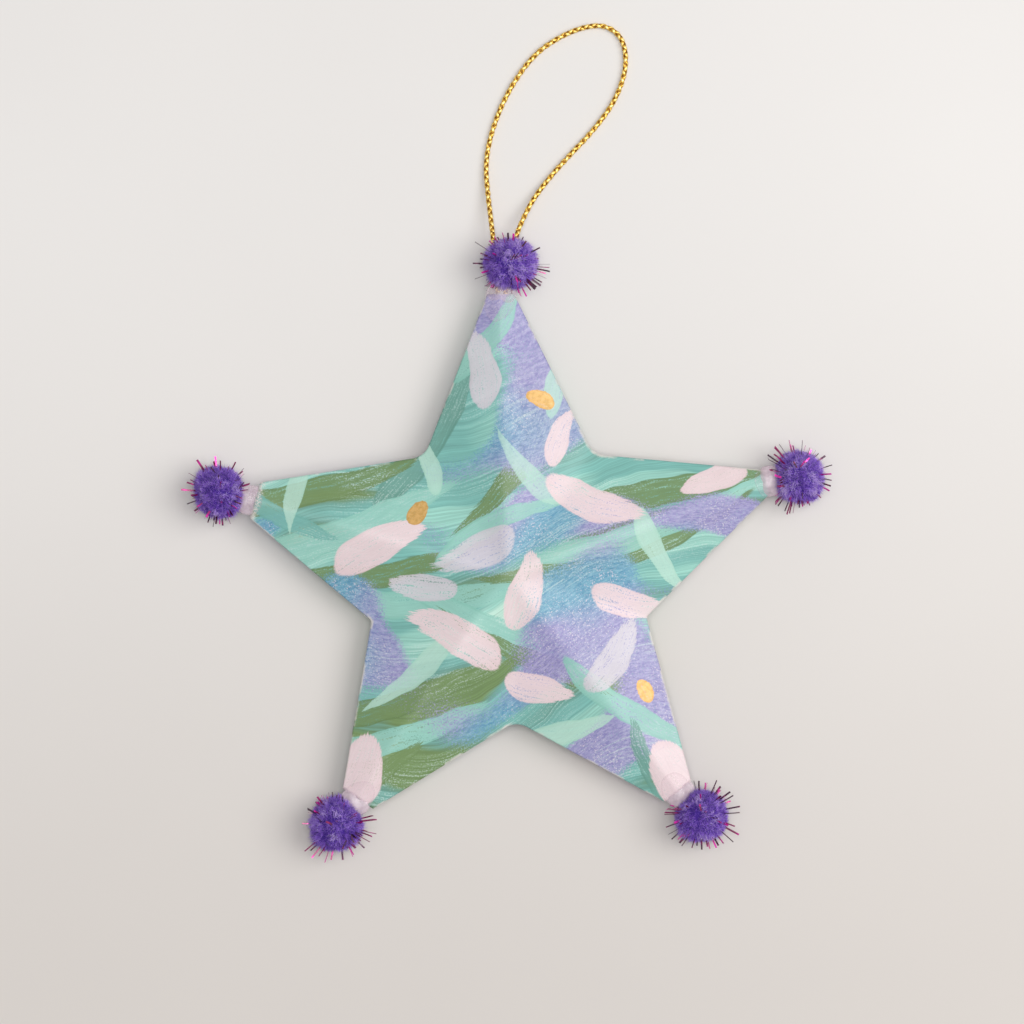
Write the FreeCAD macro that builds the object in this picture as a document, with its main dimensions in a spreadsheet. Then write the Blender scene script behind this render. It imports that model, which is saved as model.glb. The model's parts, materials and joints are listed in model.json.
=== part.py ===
import FreeCAD, Part

import math
import os

import Sketcher
from FreeCAD import Placement, Rotation, Vector

# A folded card star ornament: two painted star shells glued rim to rim, a pom-pom glued on each of
# the five tips, and a loop of thin metallic cord to hang it by. Lengths are in millimetres.
# The star lies on a table: +Z rises out of its front, +Y points to the tip that hangs uppermost,
# and the origin is below the star's centre, in the plane that the pom-poms rest on.

# Driving dimensions, one row of the sheet each.
SIZES = {
    # The star's outline, measured from its centre.
    "tip_radius": 67.0,  # to the corner that two edges would make if the tip were not cut off
    "notch_radius": 31.6,  # to the inner corner between two arms
    "notch_rounding": 4.5,  # radius of the softly folded inner corners
    "tip_cut": 7.6,  # how much of that corner is cut off
    # The two shells.
    "card_thickness": 0.4,
    "front_height": 9.0,  # from the rim up to the front peak
    "peak_gap": 0.3,  # between the back peak and the table
    # The glue flaps folded in from the front shell's rim.
    "flap_width": 7.0,  # from the rim to the flap's inner edge, seen from above
    "flap_end_setback": 14.4,  # how far the flaps stop short of the cut tips
    "flap_slot": 7.0,  # the gap between two flaps at an inner corner
    # The pom-poms.
    "pompom_diameter": 12.7,
    "rest_flat_depth": 0.25,  # how far the fluff is pressed flat on the table
    "seat_depth": 0.7,  # how far the fluff is pressed flat on the glue
    "tie_radius": 1.2,  # of the binding thread's ring in the middle of the fluff
    "tie_thickness": 0.5,
    # The tinsel strands, which are flat strips.
    "strand_width": 0.3,
    "strand_thickness": 0.1,
    "strand_length": 3.2,  # of the longest, beyond the fluff
    "strand_gap": 0.02,  # between a strip's foot and the fluff
    # The hot glue that joins a pom-pom to its tip.
    "glue_length": 1.45,  # between a cut tip and its pom-pom
    "collar_width": 7.0,
    "collar_height": 3.2,
    "collar_lap": 2.2,  # how far the glue runs back over the card
    # The hanging cord.
    "cord_diameter": 1.2,
    "tail_spacing": 1.6,  # between the two cord ends in the glue
    "tail_bury": 1.1,  # how deep they go into it
    "swing_clearance": 0.3,  # between a fixed cord end and the loop that swings on it
    # How far a cutting shape runs past what it cuts.
    "overrun": 2.0,
}

# Sizes worked out from the driving ones, as formulas in the same sheet.
DERIVED_SIZES = {
    "rim_height": "=pompom_diameter / 2 - rest_flat_depth",
    "back_height": "=rim_height - peak_gap",
    "edge_distance": "=tip_radius * notch_radius * sin(36 deg) / sqrt(tip_radius ^ 2"
    " + notch_radius ^ 2 - 2 * tip_radius * notch_radius * cos(36 deg))",
    "front_inner_share": "=1 - card_thickness * sqrt(front_height ^ 2 + edge_distance ^ 2)"
    " / (front_height * edge_distance)",
    "back_inner_share": "=1 - card_thickness * sqrt(back_height ^ 2 + edge_distance ^ 2)"
    " / (back_height * edge_distance)",
    "flap_inner_share": "=2 * back_inner_share - 1",
    "flap_edge_share": "=1 - flap_width / edge_distance",
}

# The star was cut by hand, so its arms differ a little. Going round from the top tip towards -X,
# each arm has its own reach, cut and length of glue, as shares of the sizes above, and a turn of
# its pom-pom round the star's axis.
ARMS = ("top", "left", "lower_left", "lower_right", "right")
TOP_ARM = 0
ARM_STEP_DEG = 72.0
TOP_BEARING_DEG = 90.0
TIP_REACH_SHARES = (1.009, 0.993, 1.008, 1.020, 0.972)
TIP_CUT_SHARES = (1.001, 1.173, 1.149, 1.137, 0.753)
GLUE_LENGTH_SHARES = (1.28, 1.59, 0.95, 0.89, 1.00)
POMPOM_NUDGES_DEG = (-2.0, 0.4, -0.4, 0.8, -1.1)

# The inner corner after each tip, in the same order: its distance, its turn from the middle
# between the two tips, and how softly it is folded.
NOTCH_REACH_SHARES = (1.000, 1.000, 1.010, 0.985, 1.006)
NOTCH_NUDGES_DEG = (-2.1, -1.4, 0.7, -1.1, -0.6)
NOTCH_ROUNDING_SHARES = (1.0, 0.3, 1.0, 0.3, 1.0)

# Where the two ends of the loop leave the top pom-pom, and the loop's route over the table, as
# points of its centreline: across and along from the middle of the top pom-pom, and up from the
# table. It starts at the left end, goes round the far end and comes back.
LOOP_ROUTE = (
    (-3.6, 7.1, 3.4),
    (-4.3, 14.7, 1.5),
    (-4.7, 22.7, 0.6),
    (-2.6, 30.7, 0.6),
    (1.3, 38.7, 0.6),
    (6.9, 45.9, 0.6),
    (13.1, 49.7, 0.6),
    (18.5, 51.5, 0.6),
    (22.7, 51.5, 0.6),
    (25.9, 49.0, 0.6),
    (26.9, 44.8, 0.6),
    (26.2, 39.8, 0.6),
    (23.4, 33.9, 0.6),
    (18.7, 28.2, 0.6),
    (13.3, 23.0, 0.6),
    (8.3, 17.7, 0.9),
    (4.1, 12.1, 1.9),
    (1.9, 7.1, 3.4),
)
ARC_SHARE = 0.45  # of the shorter run beside a bend, taken up by the bend's arc

# The tinsel strands of one pom-pom leave it in all directions, spread evenly by the golden angle.
# Those that would point into the glue, under the table or into the swinging loop are left out.
STRAND_DIRECTIONS = 44
GOLDEN_ANGLE_DEG = 137.508
STRAND_LENGTH_SHARES = (1.0, 0.62, 0.85, 0.5, 0.74)
LOWEST_STRAND_SHARE = -0.45
GLUE_SIDE_SHARE = 0.5
LOOP_SIDE_SHARE = 0.45

UP = Vector(0, 0, 1)

doc = FreeCAD.newDocument("star_ornament")
sheet = doc.addObject("Spreadsheet::Sheet", "Sizes")
for row, (name, content) in enumerate({**SIZES, **DERIVED_SIZES}.items(), start=1):
    sheet.set(f"A{row}", name)
    sheet.set(f"B{row}", str(content))
    sheet.setAlias(f"B{row}", name)
doc.recompute()


def size(name):
    """A size in millimetres, or a share, as the sheet has it."""
    value = sheet.get(name)
    return float(getattr(value, "Value", value))


def bind(thing, **expressions):
    """Ties properties of an object to the sheet."""
    for name, expression in expressions.items():
        thing.setExpression(name, expression)


def direction(bearing):
    """The level unit vector at a bearing in degrees, counted from +X towards +Y."""
    return Vector(math.cos(math.radians(bearing)), math.sin(math.radians(bearing)), 0)


def tip_bearing(arm):
    return TOP_BEARING_DEG + ARM_STEP_DEG * arm


def notch_bearing(arm):
    return tip_bearing(arm) + ARM_STEP_DEG / 2 + NOTCH_NUDGES_DEG[arm]


def tip_reach(arm):
    """The distance of a tip's uncut corner, as an expression."""
    return f"Sizes.tip_radius * {TIP_REACH_SHARES[arm]}"


def notch_reach(arm):
    """The distance of an inner corner, as an expression."""
    return f"Sizes.notch_radius * {NOTCH_REACH_SHARES[arm]}"


def cut_reach(arm):
    """The distance of a tip's cut end, as an expression."""
    return f"{tip_reach(arm)} - Sizes.tip_cut * {TIP_CUT_SHARES[arm]}"


def cut_distance(arm):
    """The distance of a tip's cut end, in millimetres."""
    return size("tip_radius") * TIP_REACH_SHARES[arm] - size("tip_cut") * TIP_CUT_SHARES[arm]


# The star's outline as a sketch.
def origin_plane(body, role):
    return next(part for part in body.Origin.OriginFeatures if part.Role == role)


def new_sketch(body, name, height):
    """An empty sketch in a body, level, at a height given as an expression."""
    sketch = body.newObject("Sketcher::SketchObject", name)
    sketch.AttachmentSupport = [(origin_plane(body, "XY_Plane"), "")]
    sketch.MapMode = "FlatFace"
    bind(sketch, **{"AttachmentOffset.Base.z": height})
    return sketch


def named_constraint(sketch, name, expression, *constraint):
    number = sketch.addConstraint(Sketcher.Constraint(*constraint))
    sketch.renameConstraint(number, name)
    sketch.setExpression(f"Constraints.{name}", expression)


def factor_of(share):
    """A share of the sheet as a factor in an expression."""
    return "1" if share == "whole" else f"Sizes.{share}"


def star_outline(body, name, share, rounded=True):
    """The ten-cornered outline in the rim plane, all its sizes times a share. A spoke runs from the
    centre to each corner, and an edge from each tip to the arc that rounds the inner corner, in line
    with the end of the inner corner's spoke. Where the outline isn't rounded, the edges meet there."""
    sketch = new_sketch(body, name, "Sizes.rim_height")
    scale = 1 if share == "whole" else size(share)
    factor = factor_of(share)
    tips, notches, spokes = [], [], []
    for arm in range(len(ARMS)):
        reach = size("tip_radius") * TIP_REACH_SHARES[arm] * scale
        tips.append(direction(tip_bearing(arm)) * reach)
        spokes.append((tips[arm], tip_reach(arm), tip_bearing(arm)))
        reach = size("notch_radius") * NOTCH_REACH_SHARES[arm] * scale
        notches.append(direction(notch_bearing(arm)) * reach)
        spokes.append((notches[arm], notch_reach(arm), notch_bearing(arm)))
    for number, (corner, reach, bearing) in enumerate(spokes):
        sketch.addGeometry(Part.LineSegment(Vector(), corner), True)
        sketch.addConstraint(Sketcher.Constraint("Coincident", number, 1, -1, 1))
        length = ("Distance", number, corner.Length)
        named_constraint(sketch, f"reach_{number}", f"({reach}) * {factor}", *length)
        if number == 0:
            sketch.addConstraint(Sketcher.Constraint("Angle", number, math.radians(bearing)))
        else:
            turn = math.radians(bearing - spokes[number - 1][2])
            sketch.addConstraint(Sketcher.Constraint("Angle", number - 1, 1, number, 1, turn))
    for arm, notch in enumerate(notches):
        after = (arm + 1) % len(ARMS)
        radius = size("notch_rounding") * NOTCH_ROUNDING_SHARES[arm] * scale if rounded else 0
        along = [(tips[side] - notch).normalize() for side in (arm, after)]
        half_turn = (math.pi - along[0].getAngle(along[1])) / 2
        ends = [notch + side * radius * math.tan(half_turn) for side in along]
        outward = (along[0] + along[1]).normalize()
        middle = notch + outward * radius * (1 / math.cos(half_turn) - 1)
        edges = []
        for tip, end in zip((arm, after), ends):
            edge = sketch.addGeometry(Part.LineSegment(tips[tip], end), False)
            sketch.addConstraint(Sketcher.Constraint("Coincident", edge, 1, 2 * tip, 2))
            if rounded:
                sketch.addConstraint(Sketcher.Constraint("PointOnObject", 2 * arm + 1, 2, edge))
            else:
                sketch.addConstraint(Sketcher.Constraint("Coincident", edge, 2, 2 * arm + 1, 2))
            edges.append(edge)
        if not rounded:
            continue
        arc = sketch.addGeometry(Part.Arc(ends[0], middle, ends[1]), False)
        arc_start = sketch.getPoint(arc, 1)
        if arc_start.distanceToPoint(ends[0]) > arc_start.distanceToPoint(ends[1]):
            edges.reverse()
        for place, edge in enumerate(edges, start=1):
            sketch.addConstraint(Sketcher.Constraint("Tangent", edge, 2, arc, place))
        rounding = f"Sizes.notch_rounding * {NOTCH_ROUNDING_SHARES[arm]} * {factor}"
        named_constraint(sketch, f"rounding_{arm}", rounding, "Radius", arc, radius)
    return sketch


def peak_point(body, name, height):
    """A sketch that holds one point on the star's axis."""
    sketch = new_sketch(body, name, height)
    sketch.addGeometry(Part.Point(Vector()), False)
    sketch.addConstraint(Sketcher.Constraint("Coincident", 0, 1, -1, 1))
    return sketch


def peak_height(shell, share):
    """Where a shell's surface peaks when all its sizes are times a share: above the rim at the
    front, and below it at the back."""
    sign = "+" if shell == "front" else "-"
    return f"Sizes.rim_height {sign} Sizes.{shell}_height * {factor_of(share)}"


def star_pyramid(body, kind, name, shell, share, rounded=True):
    """A solid between the star's outline in the rim plane and a shell's peak: flat facets between
    a ridge along each arm and a valley to each inner corner."""
    outline = star_outline(body, f"{name}_outline", share, rounded)
    top = peak_point(body, f"{name}_peak", peak_height(shell, share))
    doc.recompute()
    pyramid = body.newObject(f"PartDesign::{kind}", name)
    pyramid.Profile = outline
    pyramid.Sections = [(top, ["Vertex1"])]
    pyramid.Ruled = True
    doc.recompute()
    return pyramid


def cutting_box(body, name, bearing, start, width, length, low, high):
    """Takes away a box that lies along a bearing, from a distance off the centre outwards, between
    two heights. Its corner is half its width to the right of the bearing."""
    box = body.newObject("PartDesign::SubtractiveBox", name)
    box.AttachmentSupport = [(origin_plane(body, "XY_Plane"), "")]
    box.MapMode = "FlatFace"
    box.AttachmentOffset = Placement(Vector(), Rotation(UP, bearing))
    bind(box, Length=length, Width=width, Height=f"{high} - ({low})")
    along, aside = f"cos({bearing} deg)", f"sin({bearing} deg)"
    corner = {
        "AttachmentOffset.Base.x": f"({start}) * {along} + ({width}) / 2 * {aside}",
        "AttachmentOffset.Base.y": f"({start}) * {aside} - ({width}) / 2 * {along}",
        "AttachmentOffset.Base.z": low,
    }
    bind(box, **corner)
    doc.recompute()


def trim_tips(body):
    """Cuts the five tips square, each at its own distance."""
    low = "-Sizes.overrun"
    high = "Sizes.rim_height + Sizes.front_height + Sizes.overrun"
    width = "Sizes.notch_radius"
    for arm, name in enumerate(ARMS):
        length = f"Sizes.tip_cut * {TIP_CUT_SHARES[arm]} + Sizes.overrun"
        bearing = tip_bearing(arm)
        cutting_box(body, f"trim_{name}", bearing, cut_reach(arm), width, length, low, high)


def new_body(name):
    body = doc.addObject("PartDesign::Body", name)
    body.AllowCompound = True
    return body


# The front shell: a star of card folded along its ridges and valleys.
front_wall = new_body("front_wall")
star_pyramid(front_wall, "AdditiveLoft", "front_outside", "front", "whole")
star_pyramid(front_wall, "SubtractiveLoft", "front_inside", "front", "front_inner_share")
trim_tips(front_wall)

# Its ten glue flaps: a strip folded level at the rim, then down against the back shell's inside.
flaps = new_body("flaps")
strip = star_outline(flaps, "fold_outline", "front_inner_share", rounded=False)
fold = flaps.newObject("PartDesign::Pad", "fold")
fold.Profile = strip
bind(fold, Length="Sizes.card_thickness")
doc.recompute()
star_pyramid(flaps, "AdditiveLoft", "flap_outside", "back", "back_inner_share", rounded=False)
star_pyramid(flaps, "SubtractiveLoft", "flap_inside", "back", "flap_inner_share", rounded=False)
for name, share, depth, reversed_cut in (
    ("fold_opening", "flap_inner_share", "Sizes.card_thickness + Sizes.overrun", True),
    ("flap_edge", "flap_edge_share", "Sizes.back_height + Sizes.overrun", False),
):
    opening = flaps.newObject("PartDesign::Pocket", name)
    opening.Profile = star_outline(flaps, f"{name}_outline", share, rounded=False)
    opening.Reversed = reversed_cut
    bind(opening, Length=depth)
    doc.recompute()
low, high = "-Sizes.overrun", "Sizes.rim_height + Sizes.card_thickness + Sizes.overrun"
for arm, name in enumerate(ARMS):
    start = "Sizes.notch_radius - Sizes.flap_width - Sizes.overrun"
    length, width = "Sizes.flap_width + 2 * Sizes.overrun", "Sizes.flap_slot"
    cutting_box(flaps, f"slot_{name}", notch_bearing(arm), start, width, length, low, high)
    start = f"{cut_reach(arm)} - Sizes.flap_end_setback"
    length = f"Sizes.tip_cut * {TIP_CUT_SHARES[arm]} + Sizes.flap_end_setback + Sizes.overrun"
    width = "Sizes.notch_radius"
    cutting_box(flaps, f"end_{name}", tip_bearing(arm), start, width, length, low, high)

# The back shell: the same star, shallower, with its peak just above the table.
back_shell = new_body("back_shell")
star_pyramid(back_shell, "AdditiveLoft", "back_outside", "back", "whole")
star_pyramid(back_shell, "SubtractiveLoft", "back_inside", "back", "back_inner_share")
trim_tips(back_shell)


# Shared steps for the pieces made from plain solids.
def primitive(kind, name, placement, **expressions):
    """A plain solid whose sizes are tied to the sheet."""
    thing = doc.addObject(kind, name)
    bind(thing, **expressions)
    thing.Placement = placement
    return thing


def joined(name, pieces):
    thing = doc.addObject("Part::MultiFuse", name)
    thing.Shapes = pieces
    return thing


def without(name, base, tools):
    """A piece with the space of other pieces taken out of it, one after the other."""
    for number, tool in enumerate(tools):
        last = number == len(tools) - 1
        cut = doc.addObject("Part::Cut", name if last else f"{name}_cut_{number}")
        cut.Base = base
        cut.Tool = tool
        base = cut
    return base


def group(name, pieces):
    thing = doc.addObject("Part::Compound", name)
    thing.Links = pieces
    return thing


front_shell = joined("front_shell", [front_wall, flaps])
doc.recompute()

sub_parts = {"front_shell": front_shell, "back_shell": back_shell}

# The two fixed ends of the hanging cord. Each runs from the glue at the top tip, under the middle of
# the pom-pom's fluff, to just short of the point that the loop swings on.
cord_radius = size("cord_diameter") / 2
pompom_radius = size("pompom_diameter") / 2
rim = Vector(0, 0, size("rim_height"))


def tip_end(arm):
    """The middle of a cut tip."""
    return rim + direction(tip_bearing(arm)) * cut_distance(arm)


def pompom_centre(arm):
    """Beyond the cut tip by the glue's length and the fluff that stands on it."""
    bearing = tip_bearing(arm) + POMPOM_NUDGES_DEG[arm]
    beyond = size("glue_length") * GLUE_LENGTH_SHARES[arm] + pompom_radius - size("seat_depth")
    return rim + direction(bearing) * (cut_distance(arm) + beyond)


def outward(arm):
    """The way from a cut tip to its pom-pom."""
    return (pompom_centre(arm) - tip_end(arm)).normalize()


def seat(arm):
    """The middle of the flat where a pom-pom meets its glue."""
    return pompom_centre(arm) - outward(arm) * (pompom_radius - size("seat_depth"))


def across(arm):
    return UP.cross(outward(arm))


def facing(aim):
    """The turn that takes +Z to a direction."""
    return Rotation(UP, aim)


def level_turn(arm):
    """The turn about +Z that takes +X to the way from a tip to its pom-pom."""
    return Rotation(Vector(1, 0, 0), outward(arm))


route_start = pompom_centre(TOP_ARM) - rim
route = [route_start + Vector(*point) for point in LOOP_ROUTE]
tails = []
for side, end in zip((1, -1), (route[0], route[-1])):
    start = seat(TOP_ARM) - outward(TOP_ARM) * size("tail_bury")
    start += across(TOP_ARM) * side * size("tail_spacing") / 2
    run = end - start
    tail = primitive(
        "Part::Cylinder",
        f"tail_{len(tails)}",
        Placement(start, facing(run)),
        Radius="Sizes.cord_diameter / 2",
        Height=f"{run.Length} - Sizes.cord_diameter / 2 - Sizes.swing_clearance",
    )
    tails.append(tail)
sub_parts["cord_tails"] = group("cord_tails", tails)


# The loop: straight runs joined by tangent arcs, with a round end at each point that it swings on.
def rounded_path(points):
    """The path's edges, and each bend's radius."""
    edges, radii, here = [], [], points[0]
    for before, corner, after in zip(points, points[1:], points[2:]):
        back, on = (before - corner), (after - corner)
        shorter = min(back.Length, on.Length)
        half_turn = (math.pi - back.getAngle(on)) / 2
        back.normalize()
        on.normalize()
        reach = ARC_SHARE * shorter
        radius = reach / math.tan(half_turn)
        start, end = corner + back * reach, corner + on * reach
        centre = corner + (back + on).normalize() * radius / math.cos(half_turn)
        middle = centre + (corner - centre).normalize() * radius
        edges.append(Part.LineSegment(here, start).toShape())
        edges.append(Part.Arc(start, middle, end).toShape())
        radii.append(radius)
        here = end
    edges.append(Part.LineSegment(here, points[-1]).toShape())
    return edges, radii


loop_edges, loop_radii = rounded_path(route)
loop_path = doc.addObject("Part::Feature", "loop_path")
loop_path.Shape = Part.Wire(loop_edges)
loop_section = primitive(
    "Part::Circle",
    "loop_section",
    Placement(route[0], facing(route[1] - route[0])),
    Radius="Sizes.cord_diameter / 2",
)
loop_tube = doc.addObject("Part::Sweep", "loop_tube")
loop_tube.Sections = [loop_section]
loop_tube.Spine = (loop_path, [f"Edge{number}" for number in range(1, len(loop_edges) + 1)])
loop_tube.Solid = True
loop_tube.Frenet = False
round_ends = []
for number, (end, following) in enumerate(((route[0], route[1]), (route[-1], route[-2]))):
    cap = primitive(
        "Part::Sphere",
        f"round_end_{number}",
        Placement(end, facing(end - following)),
        Radius="Sizes.cord_diameter / 2",
    )
    cap.Angle1 = 0
    round_ends.append(cap)
sub_parts["hanging_loop"] = joined("hanging_loop", [loop_tube, *round_ends])
doc.recompute()


# The glue collar, pom-pom, binding thread and tinsel of each tip.
def seat_block(arm, name, start):
    """A block as large as the pom-pom each way, from a start outwards, centred across its tip."""
    corner = start - across(arm) * pompom_radius - rim
    return primitive(
        "Part::Box",
        name,
        Placement(corner, level_turn(arm)),
        Length="Sizes.pompom_diameter",
        Width="Sizes.pompom_diameter",
        Height="Sizes.pompom_diameter",
    )


def glue_collar(arm, name):
    """A flattened blob round the cut tip, filling its mouth, with a flat end for the pom-pom."""
    gap = (seat(arm) - tip_end(arm)).Length
    blob = primitive(
        "Part::Ellipsoid",
        f"{name}_blob",
        Placement((seat(arm) + tip_end(arm)) / 2, level_turn(arm)),
        Radius1="Sizes.collar_height / 2",
        Radius2=f"{gap} / 2 + Sizes.collar_lap",
        Radius3="Sizes.collar_width / 2",
    )
    tools = [seat_block(arm, f"{name}_flat", seat(arm)), front_wall, back_shell]
    if arm == TOP_ARM:
        tools += tails
    return without(name, blob, tools)


def binding_thread(arm, name):
    return primitive(
        "Part::Torus",
        name,
        Placement(pompom_centre(arm), Rotation()),
        Radius1="Sizes.tie_radius",
        Radius2="Sizes.tie_thickness / 2",
    )


def pompom(arm, name, thread):
    """A ball of fluff, flat where it is pressed on the glue and on the table, closed round its
    binding thread."""
    middle = Placement(pompom_centre(arm), Rotation())
    ball = primitive("Part::Sphere", f"{name}_ball", middle, Radius="Sizes.pompom_diameter / 2")
    glue = seat_block(arm, f"{name}_seat", seat(arm) - outward(arm) * size("pompom_diameter"))
    under = pompom_centre(arm) - rim - outward(arm) * pompom_radius
    table = seat_block(arm, f"{name}_table", under + rim - UP * size("pompom_diameter"))
    tools = [glue, table, thread]
    if arm == TOP_ARM:
        tools += tails
    return without(name, ball, tools)


def tinsel(arm, name):
    """Flat strips that stand out of the fluff."""
    strands = []
    for number in range(STRAND_DIRECTIONS):
        rise = 1 - 2 * (number + 0.5) / STRAND_DIRECTIONS
        turn = math.radians(GOLDEN_ANGLE_DEG * number)
        level = math.sqrt(1 - rise * rise)
        aim = (outward(arm) * math.cos(turn) + across(arm) * math.sin(turn)) * level + UP * rise
        into_glue = aim.dot(outward(arm)) < -GLUE_SIDE_SHARE
        into_loop = arm == TOP_ARM and aim.dot(Vector(0, 1, 0)) > LOOP_SIDE_SHARE
        if rise < LOWEST_STRAND_SHARE or into_glue or into_loop:
            continue
        share = STRAND_LENGTH_SHARES[number % len(STRAND_LENGTH_SHARES)]
        turned = facing(aim)
        foot = pompom_centre(arm) + aim * (pompom_radius + size("strand_gap"))
        corner = turned.multVec(Vector(size("strand_width"), size("strand_thickness"), 0)) / 2
        strand = primitive(
            "Part::Box",
            f"{name}_strand_{number}",
            Placement(foot - corner, turned),
            Length="Sizes.strand_width",
            Width="Sizes.strand_thickness",
            Height=f"Sizes.strand_length * {share}",
        )
        strands.append(strand)
    return group(name, strands)


for arm, name in enumerate(ARMS):
    thread = binding_thread(arm, f"binding_thread_{name}")
    sub_parts[f"glue_collar_{name}"] = glue_collar(arm, f"glue_collar_{name}")
    sub_parts[f"pompom_{name}"] = pompom(arm, f"pompom_{name}", thread)
    sub_parts[f"binding_thread_{name}"] = thread
    sub_parts[f"tinsel_{name}"] = tinsel(arm, f"tinsel_{name}")
doc.recompute()

# Every object must have come out whole before anything is written.
for thing in doc.Objects:
    if "Invalid" in thing.State or "Error" in thing.State:
        raise RuntimeError(f"{thing.Label} failed: {thing.State}")
os.makedirs("parts", exist_ok=True)
for name, thing in sub_parts.items():
    thing.Label = name
    if thing.Shape.isNull() or not thing.Shape.isValid() or not thing.Shape.Solids:
        raise RuntimeError(f"{name} has no valid solid")
for name, thing in sub_parts.items():
    thing.Shape.exportStep(f"parts/{name}.step")
    print(f"{name}: {len(thing.Shape.Solids)} solid, {thing.Shape.Volume:.2f} mm3")

loop_length = sum(edge.Length for edge in loop_edges)
plain_volume = math.pi * cord_radius**2 * loop_length
print("cord bends, radii in mm:", [round(radius, 1) for radius in loop_radii])
print(f"loop {loop_length:.1f} mm, {loop_tube.Shape.Volume:.1f} mm3 as a tube")
print(f"its section times its length: {plain_volume:.1f} mm3")
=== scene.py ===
# %% [markdown]
# # A folded card star with pom-poms
#
# A lesson in dressing a measured model. The frame gives every piece its place in metres: the star
# lies on a table, +Z rises out of its painted front, +Y points to the tip that hangs uppermost.
# Each cell makes one piece or one finish, and prints what it made.

# %% Load the frame
import json
import math

import bpy
import numpy as np
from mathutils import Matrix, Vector

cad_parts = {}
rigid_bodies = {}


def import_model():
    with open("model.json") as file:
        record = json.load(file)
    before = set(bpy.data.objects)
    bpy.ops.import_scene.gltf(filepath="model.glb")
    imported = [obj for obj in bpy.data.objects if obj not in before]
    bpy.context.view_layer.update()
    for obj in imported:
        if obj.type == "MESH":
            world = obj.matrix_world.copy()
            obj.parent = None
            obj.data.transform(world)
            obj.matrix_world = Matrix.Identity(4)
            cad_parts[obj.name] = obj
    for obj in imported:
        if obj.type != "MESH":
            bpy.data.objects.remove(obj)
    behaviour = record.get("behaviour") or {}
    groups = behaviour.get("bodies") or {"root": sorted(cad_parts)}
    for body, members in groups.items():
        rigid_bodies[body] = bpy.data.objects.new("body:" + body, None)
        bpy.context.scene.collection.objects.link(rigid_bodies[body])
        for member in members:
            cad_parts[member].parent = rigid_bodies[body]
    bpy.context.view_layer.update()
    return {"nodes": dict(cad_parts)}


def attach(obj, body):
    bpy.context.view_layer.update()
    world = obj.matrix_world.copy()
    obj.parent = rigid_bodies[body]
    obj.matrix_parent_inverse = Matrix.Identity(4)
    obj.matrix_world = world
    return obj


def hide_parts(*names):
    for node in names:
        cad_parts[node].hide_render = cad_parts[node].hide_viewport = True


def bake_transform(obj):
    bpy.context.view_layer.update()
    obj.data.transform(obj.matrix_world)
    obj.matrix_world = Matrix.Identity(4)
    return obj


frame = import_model()
print("pieces of the frame:", len(frame["nodes"]))


def new_object(name, data):
    """An object that holds this mesh, curve, camera or lamp, put into the scene."""
    thing = bpy.data.objects.new(name, data)
    bpy.context.scene.collection.objects.link(thing)
    return thing


# %% [markdown]
# The star was cut and folded by hand, so its five arms differ a little. The numbers below are the
# ones that the frame was built from. Lengths are in millimetres, and MM turns them into metres.
# The arms go round from the top one towards -X. The card is 0.4 mm thick, and a little less at its
# cut edge. At the top it reaches a millimetre further, under the glue.

# %% The star's own numbers
MM = 0.001
ARMS = ("top", "left", "lower_left", "lower_right", "right")
ARM_BEARINGS = np.radians(90.0 + 72.0 * np.arange(5))
TIP_REACH = 67.0 * np.array([1.009, 0.993, 1.008, 1.020, 0.972])
TIP_CUT = 7.6 * np.array([1.001, 1.173, 1.149, 1.137, 0.753])
CUT_REACH = TIP_REACH - TIP_CUT
CARD_UNDER_GLUE = np.array([1.0, 0.0, 0.0, 0.0, 0.0])
CARD_REACH = CUT_REACH + CARD_UNDER_GLUE
NOTCH_REACH = 31.6 * np.array([1.000, 1.000, 1.010, 0.985, 1.006])
NOTCH_BEARINGS = ARM_BEARINGS + np.radians(36.0 + np.array([-2.1, -1.4, 0.7, -1.1, -0.6]))
NOTCH_ROUNDING = 4.5 * np.array([1.0, 0.3, 1.0, 0.3, 1.0])
POMPOM_BEARINGS = ARM_BEARINGS + np.radians([-2.0, 0.4, -0.4, 0.8, -1.1])
GLUE_LENGTH = 1.45 * np.array([1.28, 1.59, 0.95, 0.89, 1.00])
POMPOM_RADIUS = 6.35
SEAT_DEPTH = 0.7
RIM_HEIGHT = 6.1
FRONT_HEIGHT = 9.0
BACK_HEIGHT = 5.8
CARD_EDGE = 0.32
CARD_THICKNESS = 0.4


def on_bearing(bearings, reach, height=0.0):
    """Points at those distances from the axis, in those directions, at one height."""
    bearings, reach = np.broadcast_arrays(bearings, reach)
    level = np.full(bearings.shape, height)
    return np.stack([np.cos(bearings) * reach, np.sin(bearings) * reach, level], axis=-1)


def unit(vectors):
    """The same directions with length 1."""
    return vectors / np.linalg.norm(vectors, axis=-1, keepdims=True)


POMPOM_REACH = CUT_REACH + GLUE_LENGTH + POMPOM_RADIUS - SEAT_DEPTH
POMPOM_CENTRES = on_bearing(POMPOM_BEARINGS, POMPOM_REACH, RIM_HEIGHT)
TIP_ENDS = on_bearing(ARM_BEARINGS, CUT_REACH, RIM_HEIGHT)
SEAT_WAYS = unit(POMPOM_CENTRES - TIP_ENDS)
print("pom-pom centres in mm:", POMPOM_CENTRES.round(1).tolist())

# %% [markdown]
# The photograph looks straight down. 4.6 of its pixels make a millimetre at the height of the
# star's rim, the star's centre lies 62 pixels below the image's middle and a little left of it, and
# the star is turned 1.9 degrees to the left. A long lens from far away keeps the perspective gentle.

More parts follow.
